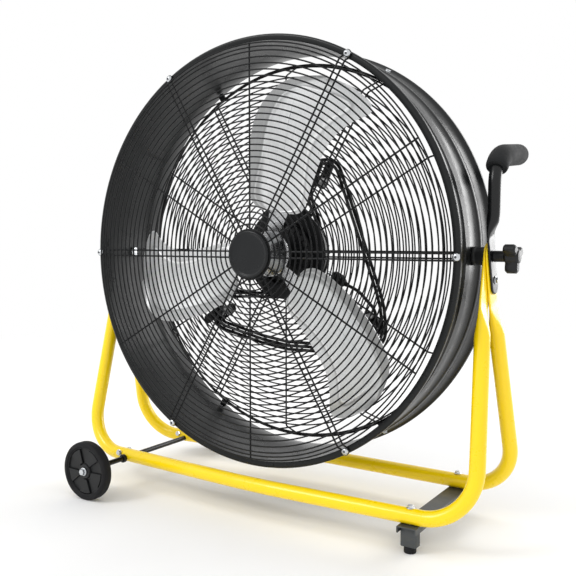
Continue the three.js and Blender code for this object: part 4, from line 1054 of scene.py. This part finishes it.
def make_handle():
    corners = [Vector(p) for p in (
        (HANDLE_X, 18, PIVOT_Z - 66), (HANDLE_X, -14, PIVOT_Z + 40), (451, -18, PIVOT_Z + 72),
        (451, -16, PIVOT_Z + 172), (451, 118, PIVOT_Z + 186))]
    bare = fillet(corners, [80, 80, 56], 14)
    path = densify(bare, 4.0)
    bottom = path[0].z

    def sizes(point):
        flat = 1 - smoothstep(point.z, PIVOT_Z + 32, PIVOT_Z + 66)
        tip = rounded_end(point.z - bottom, 14, 0.1)
        return (11 + (16.5 - 11) * flat) * tip, 11 + (2.1 - 11) * flat, flat

    piece("handle_tube", [flattened_tube(path, ALONG_X, sizes)], "stand", PAINT_BLACK, ["push_handle"], 50.0)
    start = next(i for i, p in enumerate(bare) if p.z > PIVOT_Z + 150)
    sleeve = bare[start:]
    end, heading = sleeve[-1], direction(bare, len(bare) - 1)
    sleeve = densify([*sleeve, end + heading * 9], 5.0)
    total = len(sleeve) - 1
    rings = []
    for i, point in enumerate(sleeve):
        from_end = (total - i) * 5.0
        size = (18.0, 19.1)[i] if i < 2 else 19.5
        if from_end < 12:
            size *= rounded_end(from_end, 12, 0.12) * 0.25 + 0.75
        rings.append(section(point, direction(sleeve, i), ALONG_X, size, size, 36))
    piece("grip_sleeve", [loft(rings)], "stand", FOAM, ["handle_grip"], 60.0)
    seat = Vector((HANDLE_X + 2.4, 11.5, PIVOT_Z - 42))
    piece("handle_screw", [*hex_head(seat, ALONG_X, 10, 5.2), rod(seat, (-1, 0, 0), 3, 8)], "stand", ZINC,
          ["handle_bolt"])


WHEEL_FACE_Y = 233.4  # outer faces of the wheels


def make_wheels():
    for name, side in SIDES:
        half = 11.0
        origin = Vector((AXLE_X, side * (WHEEL_FACE_Y - half), WHEEL_R))
        axis = Vector((0, side, 0))
        r = WHEEL_R
        tyre = [(49, half - 3), (50.5, half - 1.4), (51.6, half), (r - 5, half), (r - 2.2, half - 0.9),
                (r - 0.6, half - 3), (r, half - 5.6), (r, -half + 5.6), (r - 0.6, -half + 3),
                (r - 2.2, -half + 0.9), (r - 5, -half), (48, -half), (48, half - 3)]
        piece(f"tyre_{name}", [turned(closed(tyre), origin, axis, 96)], f"{name}_wheel", RUBBER)
        disc = [(5.8, half - 1), (14, half - 1), (15.4, half - 2.4), (16, half - 6), (47, half - 6),
                (48.4, half - 3), (49.4, half - 2.8), (49.4, -half + 1), (5.8, -half + 1)]
        shapes = [turned(closed(disc), origin, axis, 96)]
        for k in range(5):
            middle = math.radians(90 + 36 + 72 * k)
            spread = math.radians(19)
            outline = [on_circle(46.5, middle + spread * t) for t in (-1, -0.6, -0.2, 0.2, 0.6, 1)]
            outline += [on_circle(17, middle + spread * 0.9 * t) for t in (1, 0.3, -0.3, -1)]
            shapes.append(extruded(outline, origin + axis * (half - 6.5), axis, 4.2, 1.1))
        piece(f"wheel_disc_{name}", shapes, f"{name}_wheel", PLASTIC, [f"{name}_wheel"])
        face = Vector((AXLE_X, side * WHEEL_FACE_Y, WHEEL_R))
        washer = turned(soften([(0, 0), (8.6, 0), (8.6, 1.2), (7.8, 1.8), (0, 1.8)], 0.4), face, axis, 40)
        piece(f"hub_bolt_{name}", [washer, *hex_head(face + axis * 1.6, axis, 11.4, 5.4, False)],
              f"{name}_wheel", ZINC, [f"wheel_bolt_{name}"])
        fix_axle(name, side, axis)
    end = WHEEL_FACE_Y - 2
    axle = [(0, -end), (5.5, -end), (5.5, end), (0, end)]
    piece("axle", [turned(axle, (AXLE_X, 0, WHEEL_R), ALONG_Y, 40)], "stand", PAINT_BLACK, ["wheel_axle"])


def fix_axle(name, side, axis):
    face = Vector((AXLE_X, side * (run_y(AXLE_X) + TUBE_R + 1.2), WHEEL_R))
    collar = [(5.8, 0), (8.6, 0), (9, 0.6), (9, 5.6), (8.2, 7), (5.8, 7), (5.8, 0)]
    piece(f"collar_{name}", [turned(collar, face, axis, 40)], "stand", PLASTIC, [f"axle_collar_{name}"])
    bolt_x, bolt_z = AXLE_X - 17, BASE_Z + 6
    near = Vector((bolt_x, side * (run_y(bolt_x) + TUBE_R + 0.2), bolt_z))
    far = Vector((bolt_x, side * (run_y(bolt_x) - TUBE_R - 0.2), bolt_z))
    screw = [*hex_head(near, axis, 10, 4.8), *hex_head(far, -axis, 10, 4.8, False),
             rod(far, axis, 3, (near - far).length)]
    piece(f"axle_screw_{name}", screw, "stand", ZINC, [f"axle_bolt_{name}"])


def make_foot():
    top = BASE_Z - TUBE_R - 0.3
    width, height, sheet = 36.0, 12.0, 2.5
    reach = run_y(FOOT_X) + 19
    w = width / 2
    channel = [(-w, -height), (-w + sheet, -height), (-w + sheet, -sheet), (w - sheet, -sheet),
               (w - sheet, -height), (w, -height), (w, -1.2), (w - 1.2, 0), (-w + 1.2, 0), (-w, -1.2)]
    rings = [[Vector((FOOT_X + u, y, top + v)) for u, v in channel] for y in (-reach, reach)]
    points, faces = loft(rings)
    faces = faces[:-2]
    end_faces = ((0, 1, 2, 9), (2, 8, 9), (2, 3, 7, 8), (3, 6, 7), (3, 4, 5, 6))
    for start in (0, len(channel)):
        faces += [tuple(start + i for i in face) for face in end_faces]
    piece("crossbar", [(points, faces)], "stand", GREY, ["foot_crossbar"])
    pad = [(0, 0), (9, 0), (10.4, 0.8), (11, 2.4), (11, 4), (10.4, 4.6), (10.4, 5.6), (11, 6.2), (11, 10.6),
           (10.2, 11.7), (0, 11.7)]
    for name, side in SIDES:
        y = side * run_y(FOOT_X)
        base = Vector((FOOT_X, y, 12.0))
        leg = extruded(round_rect(30, 20, 3.4), base, UPWARD, top - sheet - 12.3, 0.6, ALONG_Y)
        rib = round_rect(31.0, 1.6, 0.5, 2)
        ribs = [extruded(rib, base + Vector((0, d, 3)), UPWARD, 22, 0.3, ALONG_Y) for d in (-5, 0, 5)]
        piece(f"leg_{name}", [leg, *ribs], "stand", GREY, [f"foot_leg_{name}"])
        piece(f"pad_{name}", [turned(pad, (FOOT_X, y, 0), UPWARD, 48)], "stand", RUBBER,
              [f"rubber_foot_{name}"])
        seat = Vector((FOOT_X, y, BASE_Z + TUBE_R + 0.1))
        piece(f"foot_screw_{name}", [*hex_head(seat, UPWARD, 10, 5.2), rod(seat, (0, 0, -1), 3, 50)],
              "stand", ZINC, [f"foot_bolt_{name}"])


make_frame_tube("tube_front", -1, 435.2, "front_frame_tube")
make_frame_tube("tube_rear", 1, 439.5, "rear_frame_tube")
make_handle()
make_wheels()
make_foot()


# --- floor and light, in metres ---
FLOOR_FADE = (0.9, 3.0)


def make_floor():
    """Pale floor that keeps the shadow near the object and fades to plain white away from it."""
    mesh = bpy.data.meshes.new("floor")
    half = 40.0
    corners = [(half * x, half * y, 0) for x, y in ((-1, -1), (1, -1), (1, 1), (-1, 1))]
    mesh.from_pydata(corners, [], [(0, 1, 2, 3)])
    n = Nodes("floor")
    where = n.coordinates()
    n.paint(n.ramp(n.noise(where, 3.0), (0.92, 0.92, 0.92), (0.94, 0.94, 0.94)))
    n.set(Roughness=0.9, Specular_IOR_Level=0.1)
    away = n.add("ShaderNodeVectorMath", operation="LENGTH")
    n.link(where, away.inputs[0])
    blend = n.add("ShaderNodeMixShader")
    n.link(n.span(away.outputs["Value"], 0.0, 1.0, *FLOOR_FADE), blend.inputs[0])
    n.link(n.shader.outputs[0], blend.inputs[1])
    n.link(n.add("ShaderNodeEmission", Strength=1.0, Color=(1, 1, 1, 1)).outputs[0], blend.inputs[2])
    n.link(blend.outputs[0], n.tree.nodes["Material Output"].inputs["Surface"])
    mesh.materials.append(n.material)
    add_object("floor", mesh)


def area_light(name, location, target, size, power):
    data = bpy.data.lights.new(name, "AREA")
    data.shape = "RECTANGLE"
    data.size, data.size_y = size
    data.energy = power
    aim(add_object(name, data), location, Vector(target) - Vector(location))


def make_light():
    world = bpy.data.worlds.new("studio")
    bpy.context.scene.world = world
    world.use_nodes = True
    background = world.node_tree.nodes["Background"]
    background.inputs["Color"].default_value = (1.0, 1.0, 1.0, 1.0)
    background.inputs["Strength"].default_value = 1.0
    area_light("key", (-1.6, -2.6, 2.6), (0, 0, 0.5), (1.2, 1.2), 40)
    area_light("edge", (1.5, 3.0, 1.3), (0.3, 0, 0.6), (1.8, 2.2), 55)
    bpy.context.scene.view_settings.view_transform = "Standard"


make_floor()
make_light()
